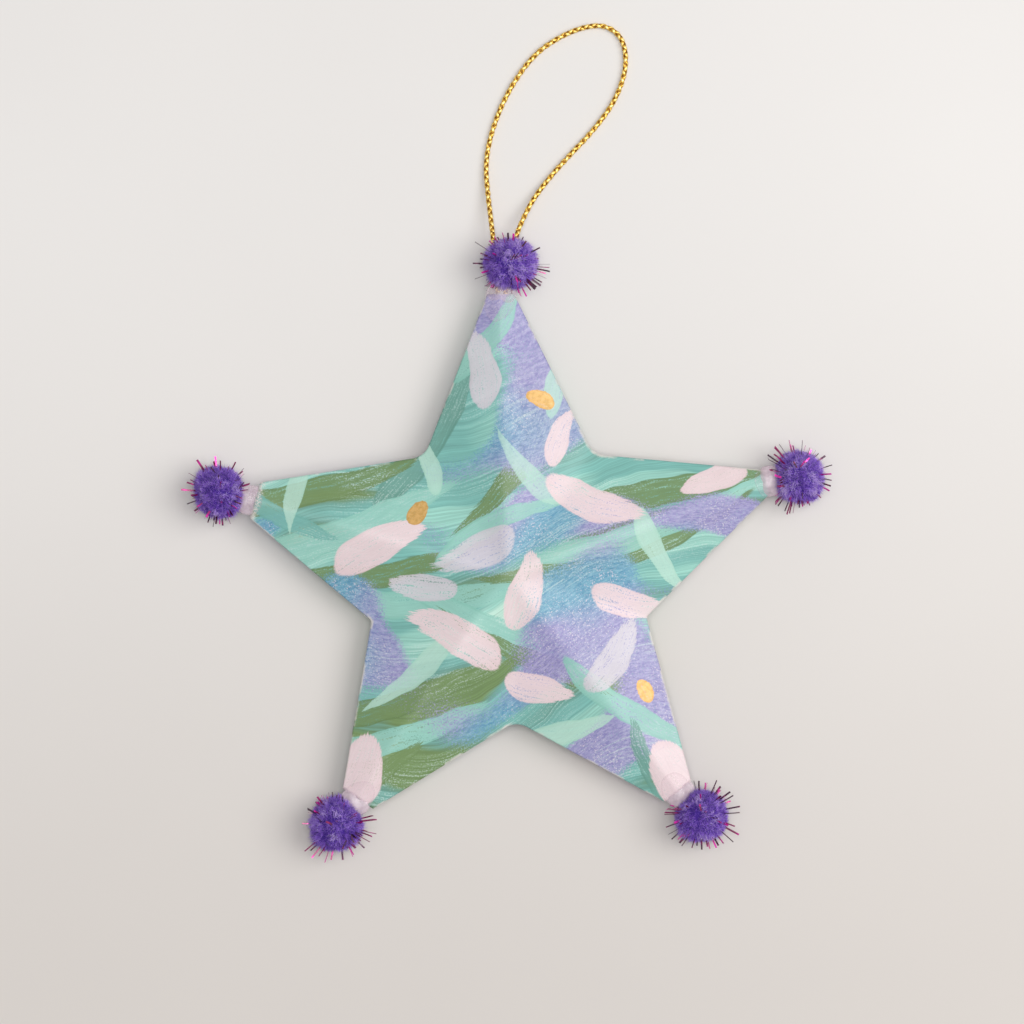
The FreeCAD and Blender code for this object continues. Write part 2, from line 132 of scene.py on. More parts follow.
# %% Camera
IMAGE_PIXELS = 1024
PIXELS_PER_MM = 4.6
STAR_PIXEL = (509.5, 574.5)
STAR_TURN = math.radians(1.9)
CAMERA_HEIGHT = 1.6
SENSOR_WIDTH = 36
image_width = IMAGE_PIXELS / PIXELS_PER_MM * MM
right = (IMAGE_PIXELS / 2 - STAR_PIXEL[0]) / PIXELS_PER_MM * MM
up = (STAR_PIXEL[1] - IMAGE_PIXELS / 2) / PIXELS_PER_MM * MM
lens = bpy.data.cameras.new("camera_above")
lens.sensor_width = SENSOR_WIDTH
lens.lens = SENSOR_WIDTH * (CAMERA_HEIGHT - RIM_HEIGHT * MM) / image_width
lens.clip_end = 20
camera = new_object("camera_above", lens)
camera.location = (
    right * math.cos(STAR_TURN) + up * math.sin(STAR_TURN),
    up * math.cos(STAR_TURN) - right * math.sin(STAR_TURN),
    CAMERA_HEIGHT,
)
camera.rotation_euler = (0, 0, -STAR_TURN)
bpy.context.scene.camera = camera
print("camera at", [round(x, 4) for x in camera.location], "lens", round(lens.lens), "mm")

# %% [markdown]
# All meshes here are grids of points that numpy works out at once. One helper turns rows of points
# into a closed skin: each row is a ring, neighbouring rings are joined by four-sided faces, and a
# fan of triangles closes each end round a pole. Others do that for many skins of one kind at once,
# or join the lists of several skins.

# %% From rings of points to a mesh
def circle(count):
    """The cosines and the sines of even steps round a circle."""
    angles = np.linspace(0, 2 * np.pi, count, endpoint=False)
    return np.cos(angles), np.sin(angles)


def ball_rings(count, around=64):
    """Directions to rings of points on a ball, from its pole at +X to its pole at -X."""
    down = np.linspace(0, np.pi, count + 2)[1:-1, None]
    cosines, sines = circle(around)
    first = np.broadcast_to(np.cos(down), (count, around))
    return np.stack([first, np.sin(down) * cosines, np.sin(down) * sines], axis=-1)


def ring_faces(rings, around, first=0):
    """Four-sided faces between neighbouring rings, numbered from a first point."""
    ring, step = np.meshgrid(np.arange(rings - 1), np.arange(around), indexing="ij")
    after = (step + 1) % around
    corners = [ring * around + step, ring * around + after]
    corners += [(ring + 1) * around + after, (ring + 1) * around + step]
    return np.stack(corners, axis=-1).reshape(-1, 4) + first


def closed_skin(rings, poles=None):
    """The points and faces of a skin: a pole, its rings, and the other pole. Poles that aren't given
    are the middles of the end rings. The volume inside, the sum of every face's own cone to the
    first pole, comes out negative where the faces look inwards, and then they are turned round."""
    start_pole, end_pole = (rings[0].mean(0), rings[-1].mean(0)) if poles is None else poles
    count, around = rings.shape[:2]
    points = np.concatenate([[start_pole], rings.reshape(-1, 3), [end_pole]])
    step = np.arange(around)
    after = (step + 1) % around
    last = 1 + (count - 1) * around
    start = np.stack([np.zeros_like(step), after + 1, step + 1], axis=-1)
    end = np.stack([np.full_like(step, len(points) - 1), last + step, last + after], axis=-1)
    fours, threes = ring_faces(count, around, 1), np.concatenate([start, end])
    halves = np.concatenate([threes, fours[:, :3], fours[:, [0, 2, 3]]])
    a, b, c = (points[halves[:, corner]] - points[0] for corner in range(3))
    if np.einsum("ij,ij->", a, np.cross(b, c)) < 0:
        fours, threes = fours[:, ::-1], threes[:, ::-1]
    return points, fours, threes


def many_skins(rings, starts, ends):
    """Like closed_skin, for an array of skins that all have the same number of rings."""
    count = len(rings)
    points = np.concatenate([starts[:, None], rings.reshape(count, -1, 3), ends[:, None]], axis=1)
    _, fours, threes = closed_skin(rings[0], (starts[0], ends[0]))
    first = (np.arange(count) * points.shape[1])[:, None, None]
    return points, (fours + first).reshape(-1, 4), (threes + first).reshape(-1, 3)


def joined_skins(skins):
    """Several skins as one list of points and one of each kind of face."""
    counts = np.cumsum([0] + [len(points) for points, _, _ in skins])
    points = np.concatenate([points for points, _, _ in skins])
    fours = np.concatenate([quads + first for (_, quads, _), first in zip(skins, counts)])
    threes = np.concatenate([fans + first for (_, _, fans), first in zip(skins, counts)])
    return points, [fours, threes]


def piece(name, points, faces, material, body, numbers, smooth=True):
    """A mesh object from points in millimetres and lists of faces, riding on a body. Numbers are
    named arrays with one value per point, which its material can read. A piece that bends between
    two bodies is given none here."""
    mesh = bpy.data.meshes.new(name)
    everything = [face for group in faces for face in group.tolist()]
    mesh.from_pydata((np.asarray(points) * MM).tolist(), [], everything)
    mesh.polygons.foreach_set("use_smooth", np.full(len(mesh.polygons), smooth))
    for label, values in numbers.items():
        layer = mesh.attributes.new(label, "FLOAT", "POINT")
        layer.data.foreach_set("value", np.asarray(values, dtype=np.float32).ravel())
    mesh.materials.append(material)
    mesh.validate()
    thing = new_object(name, mesh)
    if body:
        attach(thing, body)
    print(f"{name}: {len(mesh.vertices)} points, {len(mesh.polygons)} faces")
    return thing


# %% [markdown]
# Materials are node trees. Writing one by hand takes a few lines per node, so a small helper adds a
# node, sets its numbers and links whatever is a socket. It works in a material and in a group.

# %% A helper for node trees
class Nodes:
    """Adds nodes to a material's or a group's tree."""

    def __init__(self, tree):
        self.tree = tree

    def add(self, kind, settings=None, **inputs):
        """One node. Each input is named in small letters and gets a number, a colour or a link."""
        node = self.tree.nodes.new(kind)
        for name, value in (settings or {}).items():
            setattr(node, name, value)
        named = {}
        for socket in node.inputs:
            named.setdefault(socket.name.lower().replace(" ", "_"), socket)
        for name, value in inputs.items():
            socket = node.inputs[int(name[1:])] if name[0] == "_" else named[name]
            if isinstance(value, bpy.types.NodeSocket):
                self.tree.links.new(value, socket)
            else:
                socket.default_value = value
        return node

    def maths(self, operation, first, second=0.0, third=0.0):
        """A sum on numbers."""
        settings = {"operation": operation}
        return self.add("ShaderNodeMath", settings, _0=first, _1=second, _2=third).outputs[0]

    def times(self, first, second):
        """The product of two numbers."""
        return self.maths("MULTIPLY", first, second)

    def vectors(self, operation, first, second, third=(0, 0, 0)):
        """A sum on vectors, done in each direction by itself."""
        settings = {"operation": operation}
        return self.add("ShaderNodeVectorMath", settings, _0=first, _1=second, _2=third).outputs[0]

    def position(self):
        """Each point's place in metres, in the piece's own coordinates."""
        return self.add("ShaderNodeTexCoord").outputs["Object"]

    def bump(self, height, strength, distance):
        """A relief that only the light sees: a height, times a distance in metres."""
        inputs = {"strength": strength, "distance": distance, "height": height}
        return self.add("ShaderNodeBump", None, **inputs).outputs[0]

    def fit(self, value, low, high, to_low=0.0, to_high=1.0):
        """A value brought smoothly from one range into another."""
        settings = {"interpolation_type": "SMOOTHSTEP"}
        node = self.add("ShaderNodeMapRange", settings, value=value, from_min=low, from_max=high)
        node.inputs["To Min"].default_value = to_low
        node.inputs["To Max"].default_value = to_high
        return node.outputs[0]

    def noise(self, vector, scale, detail=2.0, roughness=0.5):
        """Soft noise between 0 and 1."""
        inputs = {"vector": vector, "scale": scale, "detail": detail, "roughness": roughness}
        return self.add("ShaderNodeTexNoise", None, **inputs).outputs[0]

    def stretched(self, vector, scale, place=(0, 0, 0), turn=0.0):
        """A pattern's coordinates: moved, turned and scaled by different amounts each way."""
        settings = {"vector_type": "POINT"}
        inputs = {"location": place, "rotation": (0, 0, turn), "scale": scale}
        return self.add("ShaderNodeMapping", settings, vector=vector, **inputs).outputs[0]

    def mix(self, below, above, share):
        """One colour laid over another."""
        below, above = (((*c, 1) if isinstance(c, tuple) else c) for c in (below, above))
        settings = {"data_type": "RGBA"}
        return self.add("ShaderNodeMix", settings, _0=share, _6=below, _7=above).outputs[2]

    def tint(self, colour, brightness):
        """A colour made lighter or darker by a factor."""
        settings = {"operation": "SCALE"}
        node = self.add("ShaderNodeVectorMath", settings, _0=colour, scale=brightness)
        return node.outputs[0]

    def steps(self, value, stops):
        """A colour for each value, from places and colours in order."""
        node = self.add("ShaderNodeValToRGB", None, fac=value)
        ramp = node.color_ramp
        for number, (place, colour) in enumerate(stops):
            stop = ramp.elements[number] if number < 2 else ramp.elements.new(place)
            stop.position, stop.color = place, (*colour, 1)
        return node.outputs[0]

    def attribute(self, name):
        """A number that the mesh carries."""
        return self.add("ShaderNodeAttribute", {"attribute_name": name}).outputs["Fac"]


def finish_of(name, **constants):
    """A new material: its nodes, and its shader with the numbers that are the same all over."""
    material = bpy.data.materials.new(name)
    material.use_nodes = True
    shader = material.node_tree.nodes["Principled BSDF"]
    for socket, value in constants.items():
        shader.inputs[socket.replace("_", " ")].default_value = value
    return material, Nodes(material.node_tree), shader


def paint(nodes, shader, **inputs):
    """Links colours and values to the shader's sockets."""
    for socket, value in inputs.items():
        nodes.tree.links.new(value, shader.inputs[socket.replace("_", " ")])


# %% [markdown]
# The hanging cord is one free length of thin gift cord, 114 mm long and 1.2 mm thick. It comes out
# under the top pom-pom, drops to the table and lies there in a lopsided loop. A NURBS spline with
# the route's points as control points gives the smooth line that a limp cord takes.

# %% The cord's line
LOOP_ROUTE = (
    (-3.6, 7.1, 3.4), (-4.3, 14.7, 1.5), (-4.7, 22.7, 0.6), (-2.6, 30.7, 0.6), (1.3, 38.7, 0.6),
    (6.9, 45.9, 0.6), (13.1, 49.7, 0.6), (18.5, 51.5, 0.6), (22.7, 51.5, 0.6), (25.9, 49.0, 0.6),
    (26.9, 44.8, 0.6), (26.2, 39.8, 0.6), (23.4, 33.9, 0.6), (18.7, 28.2, 0.6), (13.3, 23.0, 0.6),
    (8.3, 17.7, 0.9), (4.1, 12.1, 1.9), (1.9, 7.1, 3.4),
)
CORD_DIAMETER = 1.2
CORD_STEP = 0.16
route = np.array(LOOP_ROUTE) + POMPOM_CENTRES[0] * (1, 1, 0)


def smooth_line(name, points):
    """The points of a smooth line drawn through control points, as Blender's own spline has it."""
    curve = bpy.data.curves.new(name, "CURVE")
    curve.dimensions = "3D"
    curve.resolution_u = 24
    spline = curve.splines.new("NURBS")
    spline.points.add(len(points) - 1)
    spline.points.foreach_set("co", np.column_stack([points * MM, np.ones(len(points))]).ravel())
    spline.order_u = 3
    spline.use_endpoint_u = True
    line = new_object(name, curve)
    drawn = bpy.data.meshes.new_from_object(line)
    samples = np.empty(len(drawn.vertices) * 3)
    drawn.vertices.foreach_get("co", samples)
    bpy.data.objects.remove(line)
    return samples.reshape(-1, 3) / MM


def evenly_spaced(line, spacing):
    """The same line with points at even distances along it."""
    along = np.concatenate([[0], np.cumsum(np.linalg.norm(np.diff(line, axis=0), axis=1))])
    places = np.linspace(0, along[-1], int(round(along[-1] / spacing)) + 1)
    return np.stack([np.interp(places, along, line[:, axis]) for axis in range(3)], axis=-1)


cord_line = evenly_spaced(smooth_line("cord_line", route), CORD_STEP)

# %% [markdown]
# Close up, the cord is a braid of four flat strands of metallic film round a dark core. A strand
# winds round the core like a screw, two to the left and two to the right, and where two cross, one
# rises while the other dips. Each turn takes 3.5 mm, so from above one sees a row of bright beads
# with dark gaps, 1.8 mm apart. The whole braid is also twisted a little to and fro, as a limp cord
# gets in the hand, so the beads don't all face upwards.

# %% Braiding the cord
STRAND_PITCH = 3.54
STRANDS_EACH_WAY = 2
STRAND_REACH, REACH_CHANGE = 0.385, 0.085
LEAN_REACH = 0.4
STRAND_HALF_WIDTH, STRAND_HALF_THICKNESS = 0.31, 0.13
CORE_RADIUS = 0.36
TUBE_SIDES = 8


def tube_frame(line):
    """At each point of a line: the way along it, the level way across it, and the third way."""
    along = unit(np.gradient(line, axis=0))
    across = unit(np.cross(along, (0, 0, 1)))
    return along, across, np.cross(across, along)


def tube(line, sideways, outward, half_width, half_thickness):
    """Rings round a line. Each is an oval with a half width to the side and another outwards."""
    cosines, sines = (values[None, :, None] for values in circle(TUBE_SIDES))
    rings = line[:, None, :] + half_width * cosines * sideways[:, None, :]
    return rings + half_thickness * sines * outward[:, None, :]


def braid(line):
    """The skins of the strands and the core. A strand's middle lies at a distance from the line that
    rises and falls with the cosine of its place along it, in a direction that turns steadily. The
    strand leans by the slope of a screw: once round a circle for each pitch along."""
    along, across, above = tube_frame(line)
    steps = np.linalg.norm(np.diff(line, axis=0), axis=1)
    place = np.concatenate([[0], np.cumsum(steps)])
    turn = 2 * np.pi * place / STRAND_PITCH
    twist = 0.9 * np.sin(place / 5.3) + 0.7 * np.sin(place / 2.3 + 1.0)
    skins = []
    for side in (1, -1):
        reach = STRAND_REACH + side * REACH_CHANGE * np.cos(STRANDS_EACH_WAY * turn)
        lean = np.arctan2(2 * np.pi * LEAN_REACH * side, STRAND_PITCH)
        for number in range(STRANDS_EACH_WAY):
            angle = (side * turn + 2 * np.pi * number / STRANDS_EACH_WAY + twist)[:, None]
            outward = np.cos(angle) * across + np.sin(angle) * above
            sideways = np.cos(angle) * above - np.sin(angle) * across
            flat = sideways * np.cos(lean) - along * np.sin(lean)
            middle = line + outward * reach[:, None]
            rings = tube(middle, flat, outward, STRAND_HALF_WIDTH, STRAND_HALF_THICKNESS)
            skins.append(closed_skin(rings))
    core = tube(line, across, above, CORE_RADIUS, CORE_RADIUS)
    return skins + [closed_skin(core, (line[0], line[-1]))]



# %% [markdown]
# Gold film is a metal: its colour is in what it mirrors. The core under the strands is dark brown.
# The strands are painted brown where they dip into the gaps, which is painted shade, and bright
# yellow where they stand out, which is painted highlight. So the mesh carries how far each point
# lies from the cord's middle, and the colour follows that.

# %% Gold film
gold_film, nodes, shader = finish_of("gold_film", Metallic=0.85)
fine = nodes.noise(nodes.position(), 2600, 2)
uneven = nodes.maths("MULTIPLY_ADD", fine, 0.3, -0.15)
# Brown at the core, its own colour; on the strands the ramp is painted shade in the gaps and painted
# highlight on top.
film = nodes.steps(
    nodes.maths("ADD", nodes.attribute("raised"), uneven),
    [
        (0.00, (0.19, 0.075, 0.010)),
        (0.40, (0.36, 0.16, 0.018)),
        (0.70, (0.66, 0.39, 0.050)),
        (1.00, (0.87, 0.67, 0.24)),
    ],
)
paint(nodes, shader, Base_Color=film, Roughness=nodes.fit(fine, 0.3, 0.7, 0.22, 0.42))


def cord_piece(name, lines):
    """Braided cord along one line or more. Its points carry how far out they are: 0 at the core's
    radius and 1 at the cord's. It bends between two bodies, so it is given none here."""
    skins, middles = [], []
    for line in lines:
        strands = braid(line)
        skins += strands
        middles += [line[:1], np.repeat(line, TUBE_SIDES, axis=0), line[-1:]] * len(strands)
    points, faces = joined_skins(skins)
    distance = np.linalg.norm(points - np.concatenate(middles), axis=1)
    raised = np.clip((distance - CORE_RADIUS) / (CORD_DIAMETER / 2 - CORE_RADIUS), 0, 1)
    return piece(name, points, faces, gold_film, None, {"raised": raised})


loop = cord_piece("gold_loop", [cord_line])
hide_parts("hanging_loop")

# %% [markdown]
# Behind the pom-pom the cord's two ends are glued to the star, so they don't swing. They are short
# straight stubs of the same braid, and meet the loop where it leaves the fluff.

# %% The cord's fixed ends
END_DEPTH, END_SPREAD = 1.1, 0.8
seat_across = np.cross((0, 0, 1), SEAT_WAYS[0])
in_glue = POMPOM_CENTRES[0] - SEAT_WAYS[0] * (POMPOM_RADIUS - SEAT_DEPTH + END_DEPTH)
tail_lines = [
    np.linspace(in_glue + seat_across * side * END_SPREAD, end, 48)
    for side, end in ((1, route[0]), (-1, route[-1]))
]
tails = cord_piece("gold_tails", tail_lines)
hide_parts("cord_tails")

# %% [markdown]
# The loop swings where it leaves the fluff. A limp cord doesn't turn at one point: it bends over a
# few millimetres. This cell only puts each cord piece's placement into its points.

# %% The cord pieces' placement put into their points
for cord in (loop, tails):
    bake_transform(cord)

# %% [markdown]
# The star's outline is ten straight edges. Its tips are cut square and its inner corners are folded
# softly, so each one is an arc. The outline is worked out as one ring of points, corner by corner,
# and then every card surface is that ring drawn in towards the star's axis.

# %% The star's outline
def corner_arc(before, corner, after, radius, count=9):
    """Points of the arc that rounds a corner between two edges and touches both."""
    ways = [(side - corner) / np.linalg.norm(side - corner) for side in (before, after)]
    half_turn = (math.pi - math.acos(float(ways[0] @ ways[1]))) / 2
    middle = ways[0] + ways[1]
    middle /= np.linalg.norm(middle)
    centre = corner + middle * radius / math.cos(half_turn)
    ends = [corner + way * radius * math.tan(half_turn) - centre for way in ways]
    start = math.atan2(ends[0][1], ends[0][0])
    sweep = (math.atan2(ends[1][1], ends[1][0]) - start + math.pi) % (2 * math.pi) - math.pi
    angles = start + np.linspace(0, 1, count) * sweep
    return centre + radius * np.stack([np.cos(angles), np.sin(angles)], axis=-1)


tips = on_bearing(ARM_BEARINGS, TIP_REACH)[:, :2]
notches = on_bearing(NOTCH_BEARINGS, NOTCH_REACH)[:, :2]
ARM_WAYS = on_bearing(ARM_BEARINGS, 1.0)[:, :2]


def cut_end(arm, notch):
    """Where the edge from an inner corner to an arm's tip meets that tip's cut."""
    edge = tips[arm] - notch
    share = (CARD_REACH[arm] - notch @ ARM_WAYS[arm]) / (edge @ ARM_WAYS[arm])
    return notch + share * edge


def star_ring(cut):
    """The outline, from the first tip round to the last inner corner, with whole or cut tips."""
    bands = []
    for arm, notch in enumerate(notches):
        after = (arm + 1) % 5
        arc = corner_arc(tips[arm], notch, tips[after], NOTCH_ROUNDING[arm])
        start, end = (cut_end(tip, notch) if cut else tips[tip] for tip in (arm, after))
        inwards = np.linspace(start, arc[0], 48, endpoint=False)
        bands.append(np.concatenate([inwards, arc, np.linspace(arc[-1], end, 49)[1:]]))
    if not cut:
        return np.concatenate(bands)
    runs = []
    for band, following in zip(bands, bands[1:] + bands[:1]):
        runs += [band, np.linspace(band[-1], following[0], 12, endpoint=False)[1:]]
    return np.concatenate(runs)


whole_ring, cut_ring = star_ring(False), star_ring(True)
print("outline points:", len(cut_ring))

# %% [markdown]
# A folded star is a pyramid over that outline: every ray from the peak to the rim is straight. Card
# doesn't fold to a knife edge, though, so each height is the mean of the sharp shape over a small
# disc round the point. That leaves the facets flat and rounds the folds. Slow waves, a tenth of a
# millimetre high, keep the facets from looking machined. The mesh also carries what its paint has
# to know of wear: where the card is bare, and how far in from edges and tips each point lies.

# %% Height of a folded card shell
FOLD_RADIUS = 1.7
WAVE_HEIGHT, WAVE_LENGTH, WAVE_COUNT = 0.11, 22.0, 24
TIP_WEAR = (0.8, 0.28, 0.9, 0.9, 0.7)
EDGE_SLANT = 0.45
SCUFF, SCUFF_LENGTH = 0.62, 5.0
FAR_IN = 30
ring_bearings = np.arctan2(whole_ring[:, 1], whole_ring[:, 0])
order = np.argsort(ring_bearings)
ring_bearings, ring_reach = ring_bearings[order], np.linalg.norm(whole_ring, axis=1)[order]
disc = [(0.0, 0.0)] + [
    (reach * math.cos(turn), reach * math.sin(turn))
    for reach, count in ((0.5, 6), (1.0, 12))
    for turn in np.arange(count) * 2 * math.pi / count
]
disc = np.array(disc) * FOLD_RADIUS


def rim_reach(points):
    """How far away the uncut outline is from the axis, in each point's direction."""
    bearings = np.arctan2(points[..., 1], points[..., 0])
    return np.interp(bearings, ring_bearings, ring_reach, period=2 * np.pi)


def share_of_rim(points):
    """How far out a point is: 0 on the axis and 1 on the uncut outline in its direction."""
    return np.linalg.norm(points, axis=-1) / rim_reach(points)


def waves(points, seed, count, wavelength):
    """Smooth noise, mostly between -1 and 1: many sine waves that run every way, added up and divided
    by the square root of their number."""
    dice = np.random.default_rng(seed)
    ways = unit(dice.normal(size=(count, points.shape[-1])))
    ways *= 2 * np.pi / (wavelength * dice.uniform(0.7, 1.5, size=(count, 1)))
    return np.sin(points @ ways.T + dice.uniform(0, 2 * np.pi, count)).sum(-1) / math.sqrt(count)


def folded_height(points, peak, seed):
    """Height over the rim: the peak's height times how far in the point is, with soft folds. On the
    outline itself the soft shape would miss the rim, so that fault is taken off, and counts less
    the further in a point is."""
    share = share_of_rim(points)
    soft = share_of_rim(points[..., None, :] + disc).mean(-1)
    edge = points / np.maximum(share, 1e-6)[..., None]
    edge_fault = share_of_rim(edge[..., None, :] + disc).mean(-1) - 1
    soft = soft - edge_fault * share**4
    bumps = waves(points, seed, WAVE_COUNT, WAVE_LENGTH) * WAVE_HEIGHT
    return peak * (1 - soft) + bumps * np.clip((1 - share) * 5, 0, 1)


def card_shell(peak, edge, seed):
    """Rings of a card star from its outer face's middle to the rim, round the cut edge, and back
    under the card. The face stands on the edge, whose height is given. Its points carry two numbers:
    how bare the card is, 1 where no paint is and less where the left tip is scuffed, and how far in
    from the edges they lie, in millimetres."""
    shares = np.concatenate([np.linspace(0.01, 0.93, 40), np.linspace(0.94, 1.0, 6)])
    flat = cut_ring[None] * shares[:, None, None]
    lift = edge + folded_height(flat, peak - edge, seed)
    outer = np.concatenate([flat, lift[..., None]], axis=-1)
    side = np.concatenate([cut_ring, np.zeros((len(cut_ring), 1))], axis=-1)
    under_shares = np.linspace(0.985, 0.01, 12)
    under_flat = cut_ring[None] * under_shares[:, None, None]
    under_lift = abs(folded_height(under_flat, peak - edge, seed)) - (CARD_THICKNESS - CARD_EDGE)
    under_lift = np.maximum(under_lift, 0) * np.sign(peak)
    under = np.concatenate([under_flat, under_lift[..., None]], axis=-1)
    rings = np.concatenate([outer, side[None], under])
    rings[..., 2] += RIM_HEIGHT
    unpainted = np.concatenate([np.zeros(len(shares)), np.ones(1 + len(under_shares))])
    level = rings[..., :2]
    past_left_cut = level @ ARM_WAYS[1] - CARD_REACH[1]
    scuffed = np.clip(SCUFF + past_left_cut / SCUFF_LENGTH, 0, SCUFF)
    bare = np.maximum(scuffed, unpainted[:, None]).ravel()
    past_cuts = np.max((level @ ARM_WAYS.T - CARD_REACH) * TIP_WEAR, axis=-1)
    inset = np.minimum((1 - share_of_rim(level)) * rim_reach(level) * EDGE_SLANT, -past_cuts)
    numbers = {
        "bare": np.concatenate([[0], bare, [1]]),
        "inset": np.concatenate([[FAR_IN], inset.ravel(), [FAR_IN]]),
    }
    return rings, numbers



# %% [markdown]
# The card was painted flat and folded afterwards, so the painting is worked out in the plane that
# the camera looks down on. It is a loose design of this model's own: long wavy bands of olive, teal
# and mint, sponged patches of blue and lavender, and single brush marks over them. A brush mark is
# the same effect every time, so it is one node group. In its own coordinates, x along the mark and
# y across it, the mark is where |x|^2.4 + y^2 stays under 1. Bristles are noise stretched along it.
# They eat into its far end, where the brush ran dry, and where they and the card's grain are both
# high, the paint skips.

# %% One brush mark, as a node group
def group_of(name, inputs, outputs):
    """An empty node group with named inputs and outputs, and its input and output sockets."""
    tree = bpy.data.node_groups.new(name, "ShaderNodeTree")
    for label, kind in inputs:
        tree.interface.new_socket(label, in_out="INPUT", socket_type=f"NodeSocket{kind}")
    for label, kind in outputs:
        tree.interface.new_socket(label, in_out="OUTPUT", socket_type=f"NodeSocket{kind}")
    given, put = (tree.nodes.new(f"NodeGroup{way}") for way in ("Input", "Output"))
    return Nodes(tree), given.outputs, put.inputs


MARK_NUMBERS = ("Turn", "Reach", "Width", "Bend", "Point", "Dryness")
nodes, given, put = group_of(
    "brush_mark",
    [("Place", "Vector"), ("Centre", "Vector")]
    + [(label, "Float") for label in ("Grain", *MARK_NUMBERS)],
    [(label, "Float") for label in ("Mask", "Bristles", "Rim")],
)
brush_mark = nodes.tree
moved = nodes.vectors("SUBTRACT", given["Place"], given["Centre"])
back = nodes.times(given["Turn"], -1.0)
turned = nodes.add("ShaderNodeVectorRotate", {"rotation_type": "Z_AXIS"}, vector=moved, angle=back)
axes = nodes.add("ShaderNodeSeparateXYZ", None, vector=turned.outputs[0]).outputs
along = nodes.maths("DIVIDE", axes[0], given["Reach"])
bowed = nodes.times(given["Bend"], nodes.times(along, along))
level = nodes.maths("SUBTRACT", axes[1], bowed)
far = nodes.maths("MAXIMUM", nodes.maths("MULTIPLY_ADD", along, 0.5, 0.5), 0.0)
taper = nodes.times(given["Point"], nodes.maths("POWER", far, 1.6))
half_width = nodes.times(given["Width"], nodes.maths("SUBTRACT", 1.02, taper))
across = nodes.maths("DIVIDE", level, half_width)
slow = nodes.times(axes[0], 0.06)
stripes = nodes.add("ShaderNodeCombineXYZ", None, x=slow, y=level, z=given["Turn"])
bristles = nodes.noise(stripes.outputs[0], 2.9, 3, 0.6)
ends = nodes.maths("POWER", nodes.maths("ABSOLUTE", along), 2.4)
inside = nodes.maths("SUBTRACT", nodes.maths("SUBTRACT", 1.0, ends), nodes.times(across, across))
dry = nodes.times(given["Dryness"], nodes.fit(along, -0.4, 1.0, 0.05, 1.0))
bite = nodes.maths("MULTIPLY_ADD", dry, 3.6, 0.16)
eaten = nodes.times(nodes.maths("SUBTRACT", 0.60, bristles), bite)
kept = nodes.maths("SUBTRACT", inside, eaten)
skipped = nodes.fit(nodes.maths("ADD", bristles, given["Grain"]), 1.06, 1.22)
skipped = nodes.times(skipped, nodes.maths("MINIMUM", nodes.times(given["Dryness"], 2.6), 0.85))
mask = nodes.times(nodes.fit(kept, 0.0, 0.14), nodes.maths("SUBTRACT", 1.0, skipped))
rim = nodes.fit(inside, 0.05, 0.55, 1.0, 0.0)
for label, value in (("Mask", mask), ("Bristles", bristles), ("Rim", rim)):
    nodes.tree.links.new(value, put[label])

# %% [markdown]
# Each mark is a row of numbers: its middle in millimetres, its turn in degrees, half its length and
# width, how far its ends bend, how pointed and how dry its far end is, how much it covers, and its
# colour. The order is the order of painting. The marks lie scattered and cross each other, as where
# someone tried out a brush.

# %% The painting's colours and marks
OLIVE, SEA = (0.155, 0.255, 0.088), (0.150, 0.350, 0.290)
TEAL, MINT, PALE_MINT = (0.190, 0.470, 0.420), (0.310, 0.620, 0.530), (0.500, 0.760, 0.640)
BLUE, SKY, LAVENDER = (0.060, 0.250, 0.420), (0.290, 0.540, 0.660), (0.225, 0.195, 0.470)
BLUSH, GREY_BLUSH, GOLD = (0.870, 0.700, 0.720), (0.700, 0.660, 0.710), (0.620, 0.370, 0.120)
LILAC, PALE_LILAC, CHALK = (0.520, 0.480, 0.720), (0.760, 0.680, 0.760), (0.640, 0.770, 0.730)
BRONZE, BARE_CARD = (0.420, 0.240, 0.050), (0.800, 0.760, 0.700)
BROAD_MARKS = (
    (-12, 40, 66, 30, 5.0, 5.0, 0.20, 0.20, 0.90, SEA),
    (8, 30, 236, 30, 3.6, -5.0, 0.45, 0.30, 0.94, OLIVE),
    (14, 42, 58, 24, 3.4, -4.0, 0.30, 0.25, 0.90, MINT),
    (-40, 20, 12, 24, 3.4, 2.0, 0.40, 0.25, 0.94, OLIVE),
    (-34, 11, 18, 28, 3.8, 3.0, 0.35, 0.25, 0.90, MINT),
    (-30, 1, 6, 30, 3.2, 5.0, 0.45, 0.30, 0.92, OLIVE),
    (-16, -5, 4, 30, 3.6, 5.0, 0.35, 0.30, 0.90, MINT),
    (24, 4, 196, 34, 3.4, -5.0, 0.45, 0.30, 0.94, OLIVE),
    (32, 9, 18, 30, 3.0, 4.0, 0.35, 0.25, 0.92, MINT),
    (40, 18, 12, 26, 3.4, 3.0, 0.40, 0.25, 0.92, OLIVE),
    (6, -15, -16, 32, 3.6, 6.0, 0.35, 0.25, 0.94, MINT),
    (14, -22, 162, 34, 2.8, -6.0, 0.40, 0.30, 0.94, OLIVE),
    (-24, -27, 16, 26, 3.2, 4.0, 0.35, 0.30, 0.92, OLIVE),
    (-26, -35, 14, 24, 3.0, 3.0, 0.35, 0.25, 0.92, MINT),
)
LATER_MARKS = (
    (-2, 52, 52, 14, 2.6, 2.0, 0.30, 0.30, 0.90, MINT),
    (-31, -43, 28, 15, 2.6, 2.0, 0.40, 0.35, 0.90, OLIVE),
    (26, -31, -32, 20, 3.0, 3.5, 0.40, 0.35, 0.92, MINT),
    (30, -44, 116, 14, 2.6, -1.5, 0.40, 0.35, 0.90, SEA),
    (-48, 14, 330, 13, 2.4, 2.0, 0.40, 0.30, 0.90, TEAL),
    (-2, 12, 24, 17, 2.6, -3.0, 0.40, 0.35, 0.88, MINT),
)
